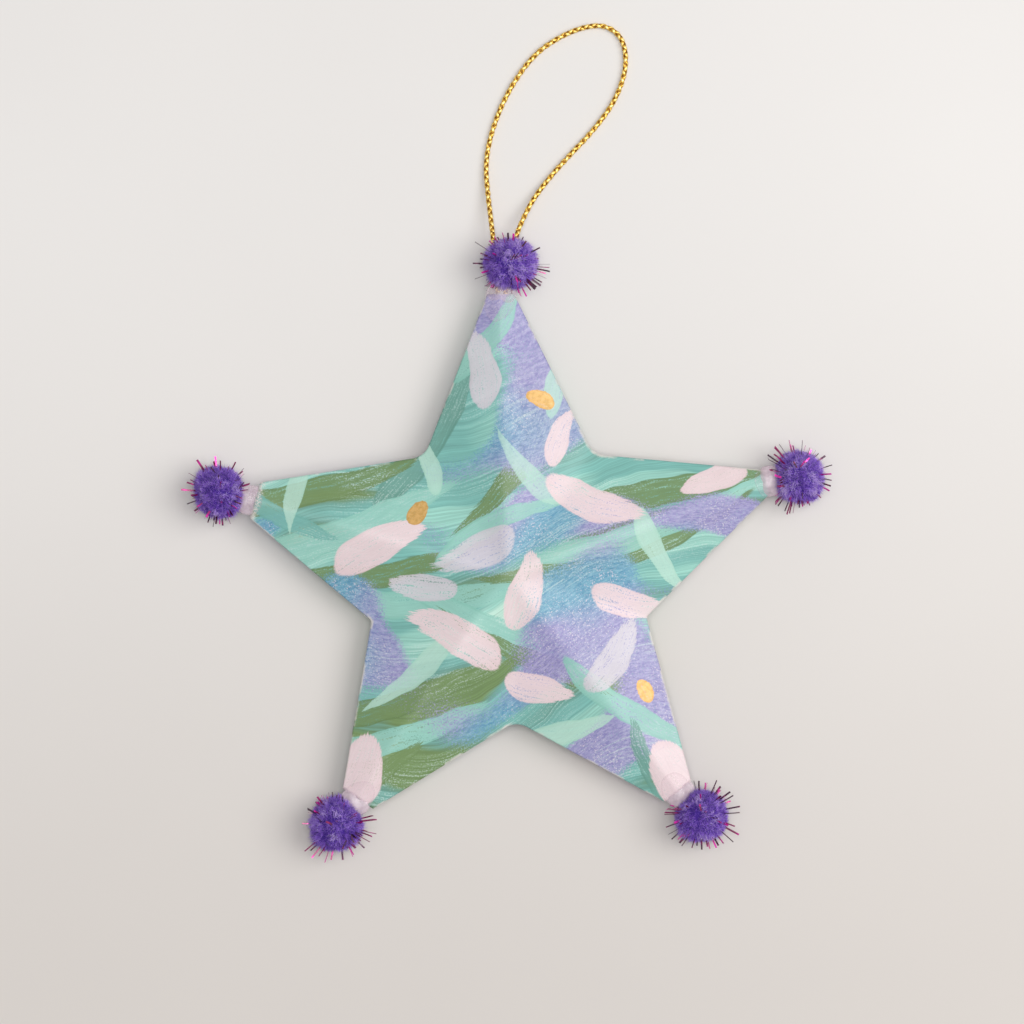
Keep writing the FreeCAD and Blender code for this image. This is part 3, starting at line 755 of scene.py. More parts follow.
SMALL_MARKS = (
    (-17, 27, 112, 9.5, 2.8, 1.6, 0.85, 0.12, 0.80, PALE_MINT),
    (12, 43, 72, 9.5, 2.6, -1.2, 0.70, 0.15, 0.78, PALE_MINT),
    (33, 3, 300, 12.0, 3.0, 1.4, 0.85, 0.15, 0.85, PALE_MINT),
    (-46, 19, 256, 8.5, 2.8, 1.0, 0.85, 0.12, 0.80, PALE_MINT),
    (-22, -22, 218, 13.5, 3.1, -2.0, 0.85, 0.15, 0.80, PALE_MINT),
    (13, -34, 12, 9.5, 2.8, 1.0, 0.60, 0.15, 0.85, PALE_MINT),
    (4, 23, 128, 11.5, 3.0, -1.6, 0.85, 0.20, 0.70, PALE_MINT),
    (-4, 45, 98, 9.0, 3.8, 0.8, 0.35, 0.25, 0.90, GREY_BLUSH),
    (-28, 8, 24, 11.5, 4.6, -1.4, 0.55, 0.18, 0.96, BLUSH),
    (19, 15, 338, 12.0, 4.6, 1.6, 0.50, 0.26, 0.96, BLUSH),
    (45, 20, 198, 8.0, 3.3, 0.8, 0.50, 0.12, 0.96, BLUSH),
    (-12, -12, 150, 12.0, 4.8, 1.6, 0.45, 0.30, 0.95, BLUSH),
    (23, -18, 56, 10.0, 4.2, 1.2, 0.55, 0.35, 0.90, GREY_BLUSH),
    (-34, -42, 66, 9.5, 5.8, 0.8, 0.30, 0.12, 0.97, BLUSH),
    (35, -44.5, 124, 8.8, 6.0, -0.8, 0.30, 0.10, 0.97, BLUSH),
    (-7, 5, 200, 10.0, 4.2, -1.2, 0.50, 0.50, 0.86, GREY_BLUSH),
    (6, -25, 346, 8.5, 3.8, 0.8, 0.50, 0.24, 0.95, BLUSH),
    (4, -3, 74, 9.5, 4.4, 1.4, 0.50, 0.32, 0.93, BLUSH),
    (26, -7, 348, 9.0, 4.0, 1.2, 0.50, 0.30, 0.94, BLUSH),
    (-19, -2, 172, 8.0, 3.4, -0.9, 0.50, 0.45, 0.88, GREY_BLUSH),
    (12, 30, 66, 7.0, 3.0, -0.8, 0.50, 0.20, 0.94, BLUSH),
)
GOLD_MARKS = (
    (-19, 14, 50, 3.2, 2.0, 0.3, 0.25, 0.10, 1.0, GOLD),
    (29, -26, 112, 2.8, 1.8, 0.2, 0.30, 0.12, 1.0, GOLD),
    (8, 38, 160, 3.4, 2.1, 0.3, 0.20, 0.10, 1.0, GOLD),
)
print("brush marks:", len(BROAD_MARKS + LATER_MARKS + SMALL_MARKS + GOLD_MARKS))

# %% [markdown]
# The bands under the marks follow a slow wave. Across the wave the noise changes quickly and along
# it slowly, and a row of colours turns its values into bands. Much finer noise of the same kind
# draws the streaks of the bristles. The sponged patches have soft noise for their outline and fine
# noise for their speckles. Where the card was cut, its white core shows, and at the edges the paint
# is rubbed off in places.

# %% Painted card
def painted_card(name, place, turn, gilded):
    """Card with the painting moved and turned on it, so that its two sides differ."""
    material, nodes, shader = finish_of(name, Specular_IOR_Level=0.55)
    in_mm = nodes.stretched(nodes.position(), (1000, 1000, 0), place, turn)

    def pushed(vector, scale, detail, amount):
        """Coordinates pushed about by colour noise."""
        inputs = {"vector": vector, "scale": scale, "detail": detail}
        push = nodes.add("ShaderNodeTexNoise", None, **inputs).outputs["Color"]
        push = nodes.vectors("SUBTRACT", push, (0.5, 0.5, 0.5))
        return nodes.vectors("MULTIPLY_ADD", push, amount, vector)

    def drawn_out(vector, scale, place=(0, 0, 0), size=1.0, detail=1.0, roughness=0.5):
        """Noise stretched by different amounts each way."""
        return nodes.noise(nodes.stretched(vector, scale, place), size, detail, roughness)

    wobbled = pushed(in_mm, 0.10, 1, (2.5, 2.5, 0))
    waved = pushed(wobbled, 0.016, 0, (0, 50, 0))
    waved = nodes.stretched(waved, (1, 1, 1), turn=math.radians(-14))
    streaks = drawn_out(waved, (0.03, 2.2, 1), detail=4, roughness=0.65)
    bands = drawn_out(waved, (0.015, 0.085, 1))
    bands = nodes.maths("ADD", bands, nodes.maths("MULTIPLY_ADD", streaks, 0.06, -0.03))
    limits = (0.36, 0.40, 0.44, 0.50, 0.54, 0.60, 0.66)
    colour = nodes.steps(bands, zip(limits, (OLIVE, SEA, TEAL, TEAL, MINT, MINT, PALE_MINT)))
    colour = nodes.tint(colour, nodes.fit(streaks, 0.3, 0.7, 0.82, 1.18))
    grit = nodes.noise(in_mm, 2.6, 3, 0.75)

    def marks(rows, colour, ridges):
        """The marks laid on one by one. Each is pushed a little by the ridges of those below. Gives
        the colour and the ridges with them, and where any of them lies."""
        total = 0.0
        for x, y, degrees, *shape, cover, shade in rows:
            pushed_place = nodes.vectors("MULTIPLY_ADD", ridges, (0.5, 0.5, 0), wobbled)
            where = {"place": pushed_place, "centre": (x, y, 0), "grain": grit}
            mark = nodes.add("ShaderNodeGroup", {"node_tree": brush_mark}, **where)
            for label, value in zip(MARK_NUMBERS, (math.radians(degrees), *shape)):
                mark.inputs[label].default_value = value
            own_ridges = mark.outputs["Bristles"]
            mask = nodes.times(mark.outputs["Mask"], cover)
            deeper = tuple(value**1.35 for value in shade)
            stroked = nodes.mix(shade, deeper, nodes.times(mark.outputs["Rim"], 0.6))
            # Painted light on the paint's relief: each mark is lighter on its bristles' ridges and
            # darker in their furrows.
            stroked = nodes.tint(stroked, nodes.fit(own_ridges, 0.25, 0.75, 0.93, 1.05))
            colour = nodes.mix(colour, stroked, mask)
            inputs = {"_0": mask, "_2": ridges, "_3": own_ridges}
            ridges = nodes.add("ShaderNodeMix", {"data_type": "FLOAT"}, **inputs).outputs[0]
            total = nodes.maths("MAXIMUM", mask, total)
        return colour, ridges, total

    colour, ridges, _ = marks(BROAD_MARKS, colour, streaks)
    patch = drawn_out(waved, (0.022, 0.045, 1), (3.1, 1.7, 0))
    sponged = nodes.fit(nodes.maths("MULTIPLY_ADD", grit, 0.16, patch), 0.580, 0.625)
    which = nodes.fit(drawn_out(waved, (0.024, 0.03, 1), (5.3, 8.1, 0)), 0.43, 0.55)
    light = drawn_out(waved, (0.5, 1.4, 1), (9, 9, 3), 1.3, 4, 0.8)
    light = nodes.fit(light, 0.34, 0.70, 0.05, 0.85)
    speckled = nodes.mix(nodes.mix(BLUE, SKY, light), nodes.mix(LAVENDER, LILAC, light), which)
    dots = nodes.fit(drawn_out(in_mm, (1, 1, 1), (3, 41, 7), 2.9, 2, 0.65), 0.58, 0.66)
    flecked = drawn_out(in_mm, (1, 1, 1), (2, 6, 1), 0.07)
    flecks = nodes.times(dots, nodes.fit(flecked, 0.42, 0.60, 0.15, 0.85))
    speckled = nodes.mix(speckled, PALE_LILAC, flecks)
    cover = nodes.times(sponged, nodes.fit(grit, 0.32, 0.46, 0.55, 0.97))
    colour = nodes.mix(colour, speckled, cover)
    colour, ridges, _ = marks(LATER_MARKS, colour, ridges)
    chalky = nodes.fit(nodes.maths("ADD", grit, ridges), 1.00, 1.20)
    hazy = nodes.fit(drawn_out(waved, (0.03, 0.08, 1), (11, 4, 0)), 0.46, 0.62, 0.0, 0.55)
    colour = nodes.mix(colour, CHALK, nodes.times(chalky, hazy))
    colour, ridges, _ = marks(SMALL_MARKS, colour, ridges)
    if gilded:
        colour, ridges, metal = marks(GOLD_MARKS, colour, ridges)
        mottling = nodes.fit(nodes.noise(in_mm, 0.9, 3, 0.7), 0.42, 0.62, 0.0, 0.6)
        colour = nodes.mix(colour, nodes.mix(colour, BRONZE, mottling), metal)
        paint(nodes, shader, Metallic=nodes.times(metal, 0.35))

    inset, bare = nodes.attribute("inset"), nodes.attribute("bare")
    patchy = nodes.noise(in_mm, 0.16, 3, 0.6)
    bare = nodes.times(bare, nodes.maths("MULTIPLY_ADD", grit, 3.2, -0.6))
    frayed = nodes.maths("MULTIPLY_ADD", grit, 0.5, inset)
    rubbed = nodes.times(nodes.fit(frayed, 0.30, 0.62, 0.9, 0.0), nodes.fit(patchy, 0.48, 0.62))
    bare = nodes.maths("MAXIMUM", nodes.fit(bare, 0.3, 0.7), rubbed)
    core = nodes.tint(BARE_CARD, nodes.fit(grit, 0.2, 0.8, 0.86, 1.05))
    grime = nodes.fit(nodes.noise(in_mm, 0.05, 3), 0.3, 0.7, 0.96, 1.03)
    colour = nodes.tint(nodes.mix(colour, core, bare), grime)
    height = nodes.maths("MULTIPLY_ADD", nodes.noise(in_mm, 3.4, 3, 0.6), 0.4, streaks)
    relief = nodes.bump(height, 0.25, 0.0001)
    worn = nodes.maths("MULTIPLY_ADD", bare, 0.3, nodes.fit(patchy, 0.3, 0.7, 0.32, 0.46))
    paint(nodes, shader, Base_Color=colour, Normal=relief, Roughness=worn)
    return material


painted_front = painted_card("painted_front", (0, 0, 0), 0.0, gilded=True)
painted_back = painted_card("painted_back", (37, -21, 5), math.radians(140), gilded=False)

# %% The two card stars
FRONT_SEED, BACK_SEED = 11, 23


def card_star(name, material, shape):
    """One card star. Its shape is the height of its peak and of its edge over the rim, and a seed."""
    rings, numbers = card_shell(*shape)
    points, fours, threes = closed_skin(rings)
    return piece(name, points, [fours, threes], material, "star", numbers)


front = card_star("card_front", painted_front, (FRONT_HEIGHT, CARD_EDGE, FRONT_SEED))
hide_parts("front_shell")
back = card_star("card_back", painted_back, (-BACK_HEIGHT, -CARD_EDGE, BACK_SEED))
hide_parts("back_shell")

# %% [markdown]
# Each pom-pom is held to its cut tip by a stub of hot glue, which set as a cloudy lump with a wet
# shine. It fills the tip and sinks into the fluff. It is a ball that is drawn out along the arm and
# made lumpy by slow waves. A thin film of the same glue lies on the card beside it. Cloudy glue lets
# some light through, and a share of plain transparency shows that without the cost of real
# refraction.

# %% Hot glue
LUMP_SINK, LUMP_HALF_WIDTH, LUMP_HALF_HEIGHT = 1.7, 3.35, 1.25
LUMP_COVER = (0.38, 0.46, 0.66, 0.62, 0.78)
FILM_REACH = (5.2, 1.6, 4.4, 4.6, 2.6)
FILM_HALF_WIDTH = 3.3
hot_glue, nodes, shader = finish_of("hot_glue", IOR=1.48, Specular_IOR_Level=0.6)
place = nodes.position()
cloud = nodes.noise(place, 420, 3, 0.6)
streak = nodes.noise(nodes.stretched(place, (500, 500, 1500)), 1.0, 2)
# The glue's own colour is a cloudy white; its pink tint is painted reflection of the violet fluff and
# magenta tinsel beside it.
paint(
    nodes,
    shader,
    Base_Color=nodes.steps(cloud, [(0.3, (0.80, 0.62, 0.70)), (0.7, (0.95, 0.81, 0.87))]),
    Alpha=nodes.times(nodes.attribute("cover"), nodes.fit(cloud, 0.3, 0.7, 0.60, 0.90)),
    Roughness=nodes.fit(streak, 0.3, 0.7, 0.08, 0.25),
    Normal=nodes.bump(streak, 0.3, 0.0002),
)


def glue_lump(arm, way, side):
    """A ball drawn out to reach from inside the tip to inside the fluff. Each of its coordinates is
    raised to a power of 1 or less, which squares the ball, and slow waves make it uneven."""
    seat = POMPOM_CENTRES[arm] - way * (POMPOM_RADIUS - SEAT_DEPTH)
    middle = (TIP_ENDS[arm] + seat) / 2
    half = np.linalg.norm(seat - TIP_ENDS[arm]) / 2
    ball = ball_rings(40)
    squared = np.sign(ball) * abs(ball) ** (0.72, 0.85, 1.0)
    reach = 1 + 0.035 * waves(ball, 31 + arm, 20, 1.6)
    shape = squared * reach[..., None] * (half + LUMP_SINK, LUMP_HALF_WIDTH, LUMP_HALF_HEIGHT)
    rings = middle + shape[..., :1] * way + shape[..., 1:2] * side + shape[..., 2:] * (0, 0, 1)
    return closed_skin(rings)


def hump(values, middle, width):
    """A bell curve: 1 at its middle, and falling off to both sides over about its width."""
    return np.exp(-(((values - middle) / width) ** 2))


def glue_film(arm, way, side):
    """A thin film that lies on the card's end: an oval with a wavy outline, a tenth of a millimetre
    over the card and a little thicker along its edge, closed underneath inside the card. Gives also
    how much each point's glue covers."""
    outline = np.stack(circle(96), axis=-1)
    outline = outline * (1 + 0.06 * waves(outline, 61 + arm, 12, 1.4))[:, None]
    outline = outline * (FILM_REACH[arm], FILM_HALF_WIDTH)
    over, under = np.linspace(0.02, 1.0, 24), np.linspace(0.97, 0.02, 6)
    flat = np.concatenate([over, under])[:, None, None] * outline
    level = TIP_ENDS[arm][:2] + flat[..., :1] * way[:2] + flat[..., 1:] * side[:2]
    bead = 0.13 + 0.12 * hump(over, 0.94, 0.05) - 0.2 * np.clip(over - 0.97, 0, 1) / 0.03
    proud = np.concatenate([bead, np.full(len(under), -0.12)])
    card = folded_height(level, FRONT_HEIGHT - CARD_EDGE, FRONT_SEED)
    lift = RIM_HEIGHT + CARD_EDGE + card + proud[:, None]
    rings = np.concatenate([level, lift[..., None]], axis=-1)
    cover = np.concatenate([0.13 + 0.09 * hump(over, 0.95, 0.06), np.full(len(under), 0.05)])
    return closed_skin(rings), np.repeat(cover, len(outline))


for arm, name in enumerate(ARMS):
    way = SEAT_WAYS[arm]
    side = np.cross((0, 0, 1), way)
    lump = glue_lump(arm, way, side)
    film, cover = glue_film(arm, way, side)
    points, faces = joined_skins([lump, film])
    lump_cover = np.full(len(lump[0]), LUMP_COVER[arm])
    cover = np.concatenate([lump_cover, cover[:1], cover, cover[-1:]])
    glue = piece(f"glue_{name}", points, faces, hot_glue, "star", {"cover": cover})
    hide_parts(f"glue_collar_{name}")

# %% [markdown]
# A pom-pom is a bundle of fine crimped fibres, tied in the middle and clipped to a ball. Its
# fibres gather in small tufts. Between the tufts one looks into deep shade, and the fibres there
# are painted darker as well. Here a dark ball stands for the imported middle, its darkness painted
# shade, and some thousand fibres with three sides grow out of it. Each one leans towards its tuft,
# bends a little and ends near the clipped sphere. Along each fibre the colour is painted shade
# deep in the fluff and painted light at its tip.

# %% Violet fluff
constants = {"Roughness": 0.85, "Specular_IOR_Level": 0.15, "Sheen_Weight": 0.35}
fluff, nodes, shader = finish_of("violet_fluff", **constants)
shader.inputs["Sheen Tint"].default_value = (0.80, 0.72, 1.0, 1)
shader.inputs["Sheen Roughness"].default_value = 0.4
painted_shading, shade = nodes.attribute("painted_shading"), nodes.attribute("shade")
# The fibres' violet, painted dark towards the roots and the core as shade, and light at the tips as
# painted light.
dye_and_painted_shade = nodes.steps(
    nodes.maths("ADD", painted_shading, nodes.maths("MULTIPLY_ADD", shade, 0.66, -0.36)),
    [
        (0.00, (0.030, 0.012, 0.20)),
        (0.40, (0.185, 0.068, 0.58)),
        (0.75, (0.420, 0.210, 0.90)),
        (1.00, (0.760, 0.580, 1.00)),
    ],
)
paint(nodes, shader, Base_Color=dye_and_painted_shade)

FIBRES = 9500
TUFTS = 340
TUFT_ANGLE = 0.13
STRAY_SHARE = 0.13
ROOT_RADIUS = 3.8
FIBRE_HALF_WIDTH = 0.08
FIBRE_PLACES = (0.0, 0.45, 0.8, 1.0)
CORE_SHARE = 0.8
# Each pom-pom's fibres are made darker by its own amount.
ARM_DARKENING = (-0.02, -0.10, -0.12, -0.07, -0.02)
SILHOUETTES = (
    (6.3, 6.2, 6.0, 6.1, 6.3, 6.3, 6.1, 6.3),
    (5.3, 6.1, 6.2, 6.8, 5.5, 5.8, 6.0, 6.0),
    (5.6, 5.3, 6.6, 6.5, 6.4, 7.2, 6.1, 6.0),
    (6.1, 5.6, 5.8, 5.0, 5.8, 6.8, 6.4, 6.7),
    (5.5, 5.6, 5.7, 6.0, 4.9, 6.5, 6.3, 6.4),
)


def pushes(dice, ways, low, high):
    """Random pushes square to each way, with lengths between two limits."""
    square = unit(np.cross(ways, dice.normal(size=ways.shape)))
    return square * dice.uniform(low, high, (len(ways), 1))


def pressed(ways, arm):
    """How far the fluff reaches in each direction: read round the pom-pom from eight distances seen
    from above, going over to the ball's own radius towards its top and bottom."""
    bearings = np.arctan2(ways[:, 1], ways[:, 0]) + STAR_TURN
    seen = np.interp(bearings, np.arange(8) * np.pi / 4, SILHOUETTES[arm], period=2 * np.pi)
    return seen + (POMPOM_RADIUS - seen) * ways[:, 2] ** 2


def packed_core(arm, seed):
    """The dark ball of packed fibres, whose darkness is painted shade deep in the fluff, with its
    poles
    above and below: a share of the pom-pom's own size, and a little uneven."""
    ball = ball_rings(38)[..., [1, 2, 0]]
    packed = CORE_SHARE * pressed(ball.reshape(-1, 3), arm).reshape(ball.shape[:2])
    return closed_skin(ball * (packed + 0.25 * waves(ball, seed, 30, 0.5))[..., None])


def fluff_ball(arm, seed):
    """A pom-pom's points, faces and numbers. A fibre's middle line is the blend of its root's and
    its tip's direction, times a distance that grows to the clipped sphere, plus one bend. Every
    tuft has its own height and shade, and a few thin fibres stand out of the ball. The numbers paint
    shade deep in the fluff: fibres are darker at their roots, and shorter fibres, pits and the
    tufts' borders are darker too."""
    dice = np.random.default_rng(seed)
    root = unit(dice.normal(size=(FIBRES, 3)))
    tufts = unit(dice.normal(size=(TUFTS, 3)))
    mine = np.argmax(root @ tufts.T, axis=1)
    off_tuft = np.arccos(np.clip((root * tufts[mine]).sum(1), -1, 1))
    outer = np.clip(off_tuft / TUFT_ANGLE, 0, 1) ** 2
    pull = dice.uniform(0.1, 0.8, (FIBRES, 1))
    tip = unit(root * (1 - pull) + tufts[mine] * pull)
    tip = unit(tip + dice.normal(scale=0.075, size=tip.shape))
    stray = dice.random(FIBRES) < STRAY_SHARE
    pits = waves(tufts, seed + 7, 30, 0.42)[mine]
    tuft_height = dice.normal(scale=0.030, size=TUFTS)[mine]
    uneven = 0.02 * waves(tip, seed, 20, 1.6) + tuft_height + 0.026 * pits - 0.05 * outer
    short, longer = dice.random(FIBRES), dice.uniform(0.2, 0.9, FIBRES)
    reach = pressed(tip, arm) * (1.03 + uneven) - 0.9 * short**2 + stray * longer
    bend = pushes(dice, tip, 0.1, 0.8)
    places = np.array(FIBRE_PLACES)[None, :, None]
    lines = unit(root[:, None] * (1 - places) + tip[:, None] * places)
    lines = lines * (ROOT_RADIUS + (reach[:, None, None] - ROOT_RADIUS) * places)
    lines = lines + bend[:, None] * np.sin(np.pi * places)
    curl = pushes(dice, tip, 0.2, 0.75)
    lines[:, 3] = lines[:, 3] * (1 - 0.02 * (1 - stray))[:, None] + curl
    side = unit(np.cross(tip, (0.31, 0.17, 0.94)))
    cosines, sines = (values[:, None] for values in circle(3))
    section = cosines * side[:, None] + sines * np.cross(tip, side)[:, None]
    thick = FIBRE_HALF_WIDTH * dice.uniform(0.6, 1.2, (FIBRES, 1))
    thick = thick * np.where(stray, 0.45, 1.0)[:, None] * (1.0, 0.85, 0.55)
    rings = lines[:, :3, None] + thick[:, :, None, None] * section[:, None]
    points, fours, threes = many_skins(rings, lines[:, 0], lines[:, 3])
    # Painted shading along each fibre: dark at the root, deep in the fluff, and light at the tip.
    painted_shading = np.repeat([0, 0.5, 0.8, 1.0], (4, 3, 3, 1))
    painted_shading = np.broadcast_to(painted_shading, points.shape[:2])
    # Random tone by tuft and by fibre, plus painted shade: shorter fibres, pits and tuft borders are
    # darker.
    shade = 0.40 * dice.random(TUFTS)[mine] + 0.45 * dice.random(FIBRES)
    shade = shade + 0.2 * np.clip(0.5 + 9 * uneven, 0, 1)
    shade = 0.58 + 1.25 * (shade - 0.5) + 0.17 * pits - 0.3 * outer + 2 * ARM_DARKENING[arm]
    shade = np.repeat(shade[:, None], points.shape[1], axis=1)
    core, core_fours, core_threes = packed_core(arm, seed + 1)
    first = points.shape[0] * points.shape[1]
    # The core is painted dark as shade.
    numbers = {
        "painted_shading": np.concatenate([painted_shading.ravel(), np.full(len(core), 0.12)]),
        "shade": np.concatenate([shade.ravel(), np.full(len(core), 0.5)]),
    }
    faces = [fours, threes, core_fours + first, core_threes + first]
    return np.concatenate([points.reshape(-1, 3), core]), faces, numbers


def settled(points, arm, dice):
    """Points of fluff pressed flat where they meet the table and the glue."""
    points = points + POMPOM_CENTRES[arm]
    seat = (points - POMPOM_CENTRES[arm]) @ SEAT_WAYS[arm] + POMPOM_RADIUS - SEAT_DEPTH
    points = points + np.maximum(-seat - 0.5, 0)[:, None] * SEAT_WAYS[arm]
    points[:, 2] = np.maximum(points[:, 2], 0.04 + 0.1 * dice.random(len(points)))
    return points


for arm, name in enumerate(ARMS):
    points, faces, numbers = fluff_ball(arm, 101 + arm)
    points = settled(points, arm, np.random.default_rng(7 + arm))
    ball = piece(f"fluff_{name}", points, faces, fluff, "star", numbers)
    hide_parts(f"pompom_{name}")

# %% [markdown]
# Between the fibres stand strips of shiny film, a third of a millimetre wide. The ones that show
# against the table or on the fluff's face are placed one by one: direction in the picture in
# degrees, distance from the pom-pom's middle in millimetres, and colour, from 0 for nearly black
# over 1 for brown-red to 2 for magenta. The strips are one film, and that colour is painted
# reflection of what each one mirrors. Others of the same kind fill the sides that the picture
# doesn't show.

# %% Where the tinsel strips stand
STRIPS = {
    "top": (
        (148, 9.0, 0), (132, 6.8, 2), (137, 6.4, 0), (161, 6.9, 1), (179, 8.1, 0), (204, 8.3, 0),
        (198, 6.5, 2), (223.5, 8.6, 0), (226, 8.5, 0), (231, 6.7, 2), (240, 8.0, 0), (252, 7.9, 2),
        (272, 5.3, 0), (288, 5.3, 2), (288, 7.7, 2), (297, 7.9, 2), (308, 7.3, 1), (313, 7.8, 0),
        (315, 7.8, 0), (318, 7.7, 0), (325, 8.15, 0), (330, 8.0, 0), (338, 8.5, 0), (345, 8.05, 1),
        (349, 8.8, 0), (355, 8.6, 1), (359, 8.65, 0), (11, 6.3, 1), (28, 7.35, 0), (54, 6.0, 0),
        (64, 6.6, 0), (83.5, 6.6, 2), (94, 6.7, 0), (104, 6.9, 2), (50, 2.8, 0), (62, 2.2, 0),
        (34, 3.1, 1), (292, 4.4, 2), (300, 4.7, 1),
    ),
    "left": (
        (123.5, 8.6, 1), (96, 8.0, 2), (99, 6.95, 1), (87, 7.0, 1), (62, 7.6, 1), (45, 7.6, 0),
        (36, 6.9, 0), (28, 5.8, 0), (22.5, 6.0, 0), (16, 7.95, 1), (6, 7.9, 1), (-13, 5.3, 1),
        (-26, 5.5, 0), (-40, 5.3, 2), (-70, 7.2, 1), (-75, 6.2, 0), (-88.5, 6.8, 2), (265, 6.8, 0),
        (260, 7.5, 0), (260, 6.1, 0), (253, 6.2, 0), (249, 6.9, 0), (243, 5.9, 2), (221, 6.8, 2),
        (213, 5.6, 2), (199, 7.4, 0), (175, 8.2, 1), (162, 7.4, 1), (147, 7.9, 1), (155, 6.8, 1),
        (107, 5.9, 0), (74, 2.6, 1),
    ),
    "lower_left": (
        (152, 7.5, 0), (153.5, 7.3, 0), (179, 7.8, 1), (219, 9.3, 1), (224, 8.3, 0), (232, 9.1, 1),
        (239, 8.0, 1), (251, 8.9, 2), (259, 7.9, 1), (-82.5, 7.9, 0), (-79, 5.4, 0), (-65, 7.7, 2),
        (-63, 7.5, 2), (-42, 7.75, 0), (-47, 5.3, 0), (-28, 7.9, 1), (-36, 6.2, 1), (-22, 5.6, 0),
        (-19, 7.9, 1), (-13, 8.6, 1), (-14, 6.6, 1), (-3, 5.4, 0), (14, 8.0, 1), (8, 8.6, 1),
        (27, 4.6, 1), (72, 5.05, 1), (80, 6.2, 0), (86.5, 6.4, 1), (100, 7.1, 0), (107, 7.2, 0),
        (120, 7.2, 0), (126, 7.5, 1), (135, 6.9, 0), (160, 5.0, 0), (162, 2.6, 1),
    ),
    "lower_right": (
        (103, 7.5, 0), (94, 7.2, 0), (82, 6.8, 2), (66, 8.1, 0), (55, 7.3, 0), (38, 7.9, 0),
        (31, 8.0, 0), (23, 7.0, 1), (11, 8.55, 0), (2.5, 8.3, 0), (-20, 7.7, 1), (-29, 9.4, 1),
        (-41, 9.1, 0), (-53, 8.0, 1), (-61.5, 7.8, 0), (-66, 8.0, 2), (-76, 7.9, 1), (-79, 7.3, 1),
        (-89.5, 7.7, 0), (262, 6.95, 0), (256, 6.6, 2), (254, 7.6, 0), (238, 8.1, 0),
        (233, 7.9, 0), (227, 7.5, 2), (221, 8.5, 0), (212.5, 8.4, 0), (200, 8.2, 0), (181, 8.0, 1),
        (177, 8.0, 1), (171, 8.1, 1), (168, 6.0, 1), (102, 2.4, 1), (-13, 3.5, 0),
    ),
    "right": (
        (153, 8.7, 0), (146, 8.2, 0), (140, 7.3, 1), (130, 8.35, 1), (131.5, 8.2, 1),
        (122, 8.1, 0), (106, 8.1, 1), (102, 6.8, 2), (85.5, 7.7, 0), (65, 6.3, 2), (57, 6.7, 0),
        (49, 6.5, 0), (37.5, 7.2, 0), (18.5, 7.5, 0), (3.5, 6.9, 2), (-8, 7.05, 0), (-18, 7.1, 0),
        (-26, 7.4, 2), (-84, 6.7, 1), (-90, 6.9, 0), (260, 8.2, 1), (256, 8.4, 1), (252, 8.8, 1),
        (248, 8.25, 0), (235, 8.0, 0), (228, 8.4, 1), (229.5, 8.3, 1), (178, 5.45, 2),
        (205, 5.4, 1), (115, 3.4, 0), (74, 3.4, 2), (62, 4.4, 2), (-83, 5.0, 0),
    ),
}
print("tinsel strips placed one by one:", sum(len(rows) for rows in STRIPS.values()))

# %% Tinsel
ROOT_REACH = 4.2
FACE_REACH = 6.1
FACE_ROOT, FACE_TIP, FACE_LEAN = 5.9, 6.75, 1.5
SPARE_STRIPS = 34
HALF_FILM = 0.025
tinsel, nodes, shader = finish_of("magenta_film", Metallic=0.35, Roughness=0.22, Coat_Weight=0.3)
# One film, painted from near black to magenta: painted reflection, painted shade and painted glints.
film = nodes.steps(
    nodes.attribute("painted_shading"),
    [
        (0.00, (0.030, 0.002, 0.020)),
        (0.25, (0.080, 0.004, 0.045)),
        (0.50, (0.260, 0.008, 0.100)),
        (0.75, (0.550, 0.004, 0.270)),
        (1.00, (0.740, 0.010, 0.420)),
    ],
)
paint(nodes, shader, Base_Color=film)


def on_ball(bearing, level_reach, radius):
    """Points on a ball's upper half, at level distances from its middle."""
    height = np.sqrt(np.maximum(radius**2 - level_reach**2, 0))
    return on_bearing(bearing, level_reach) + height[:, None] * (0, 0, 1)


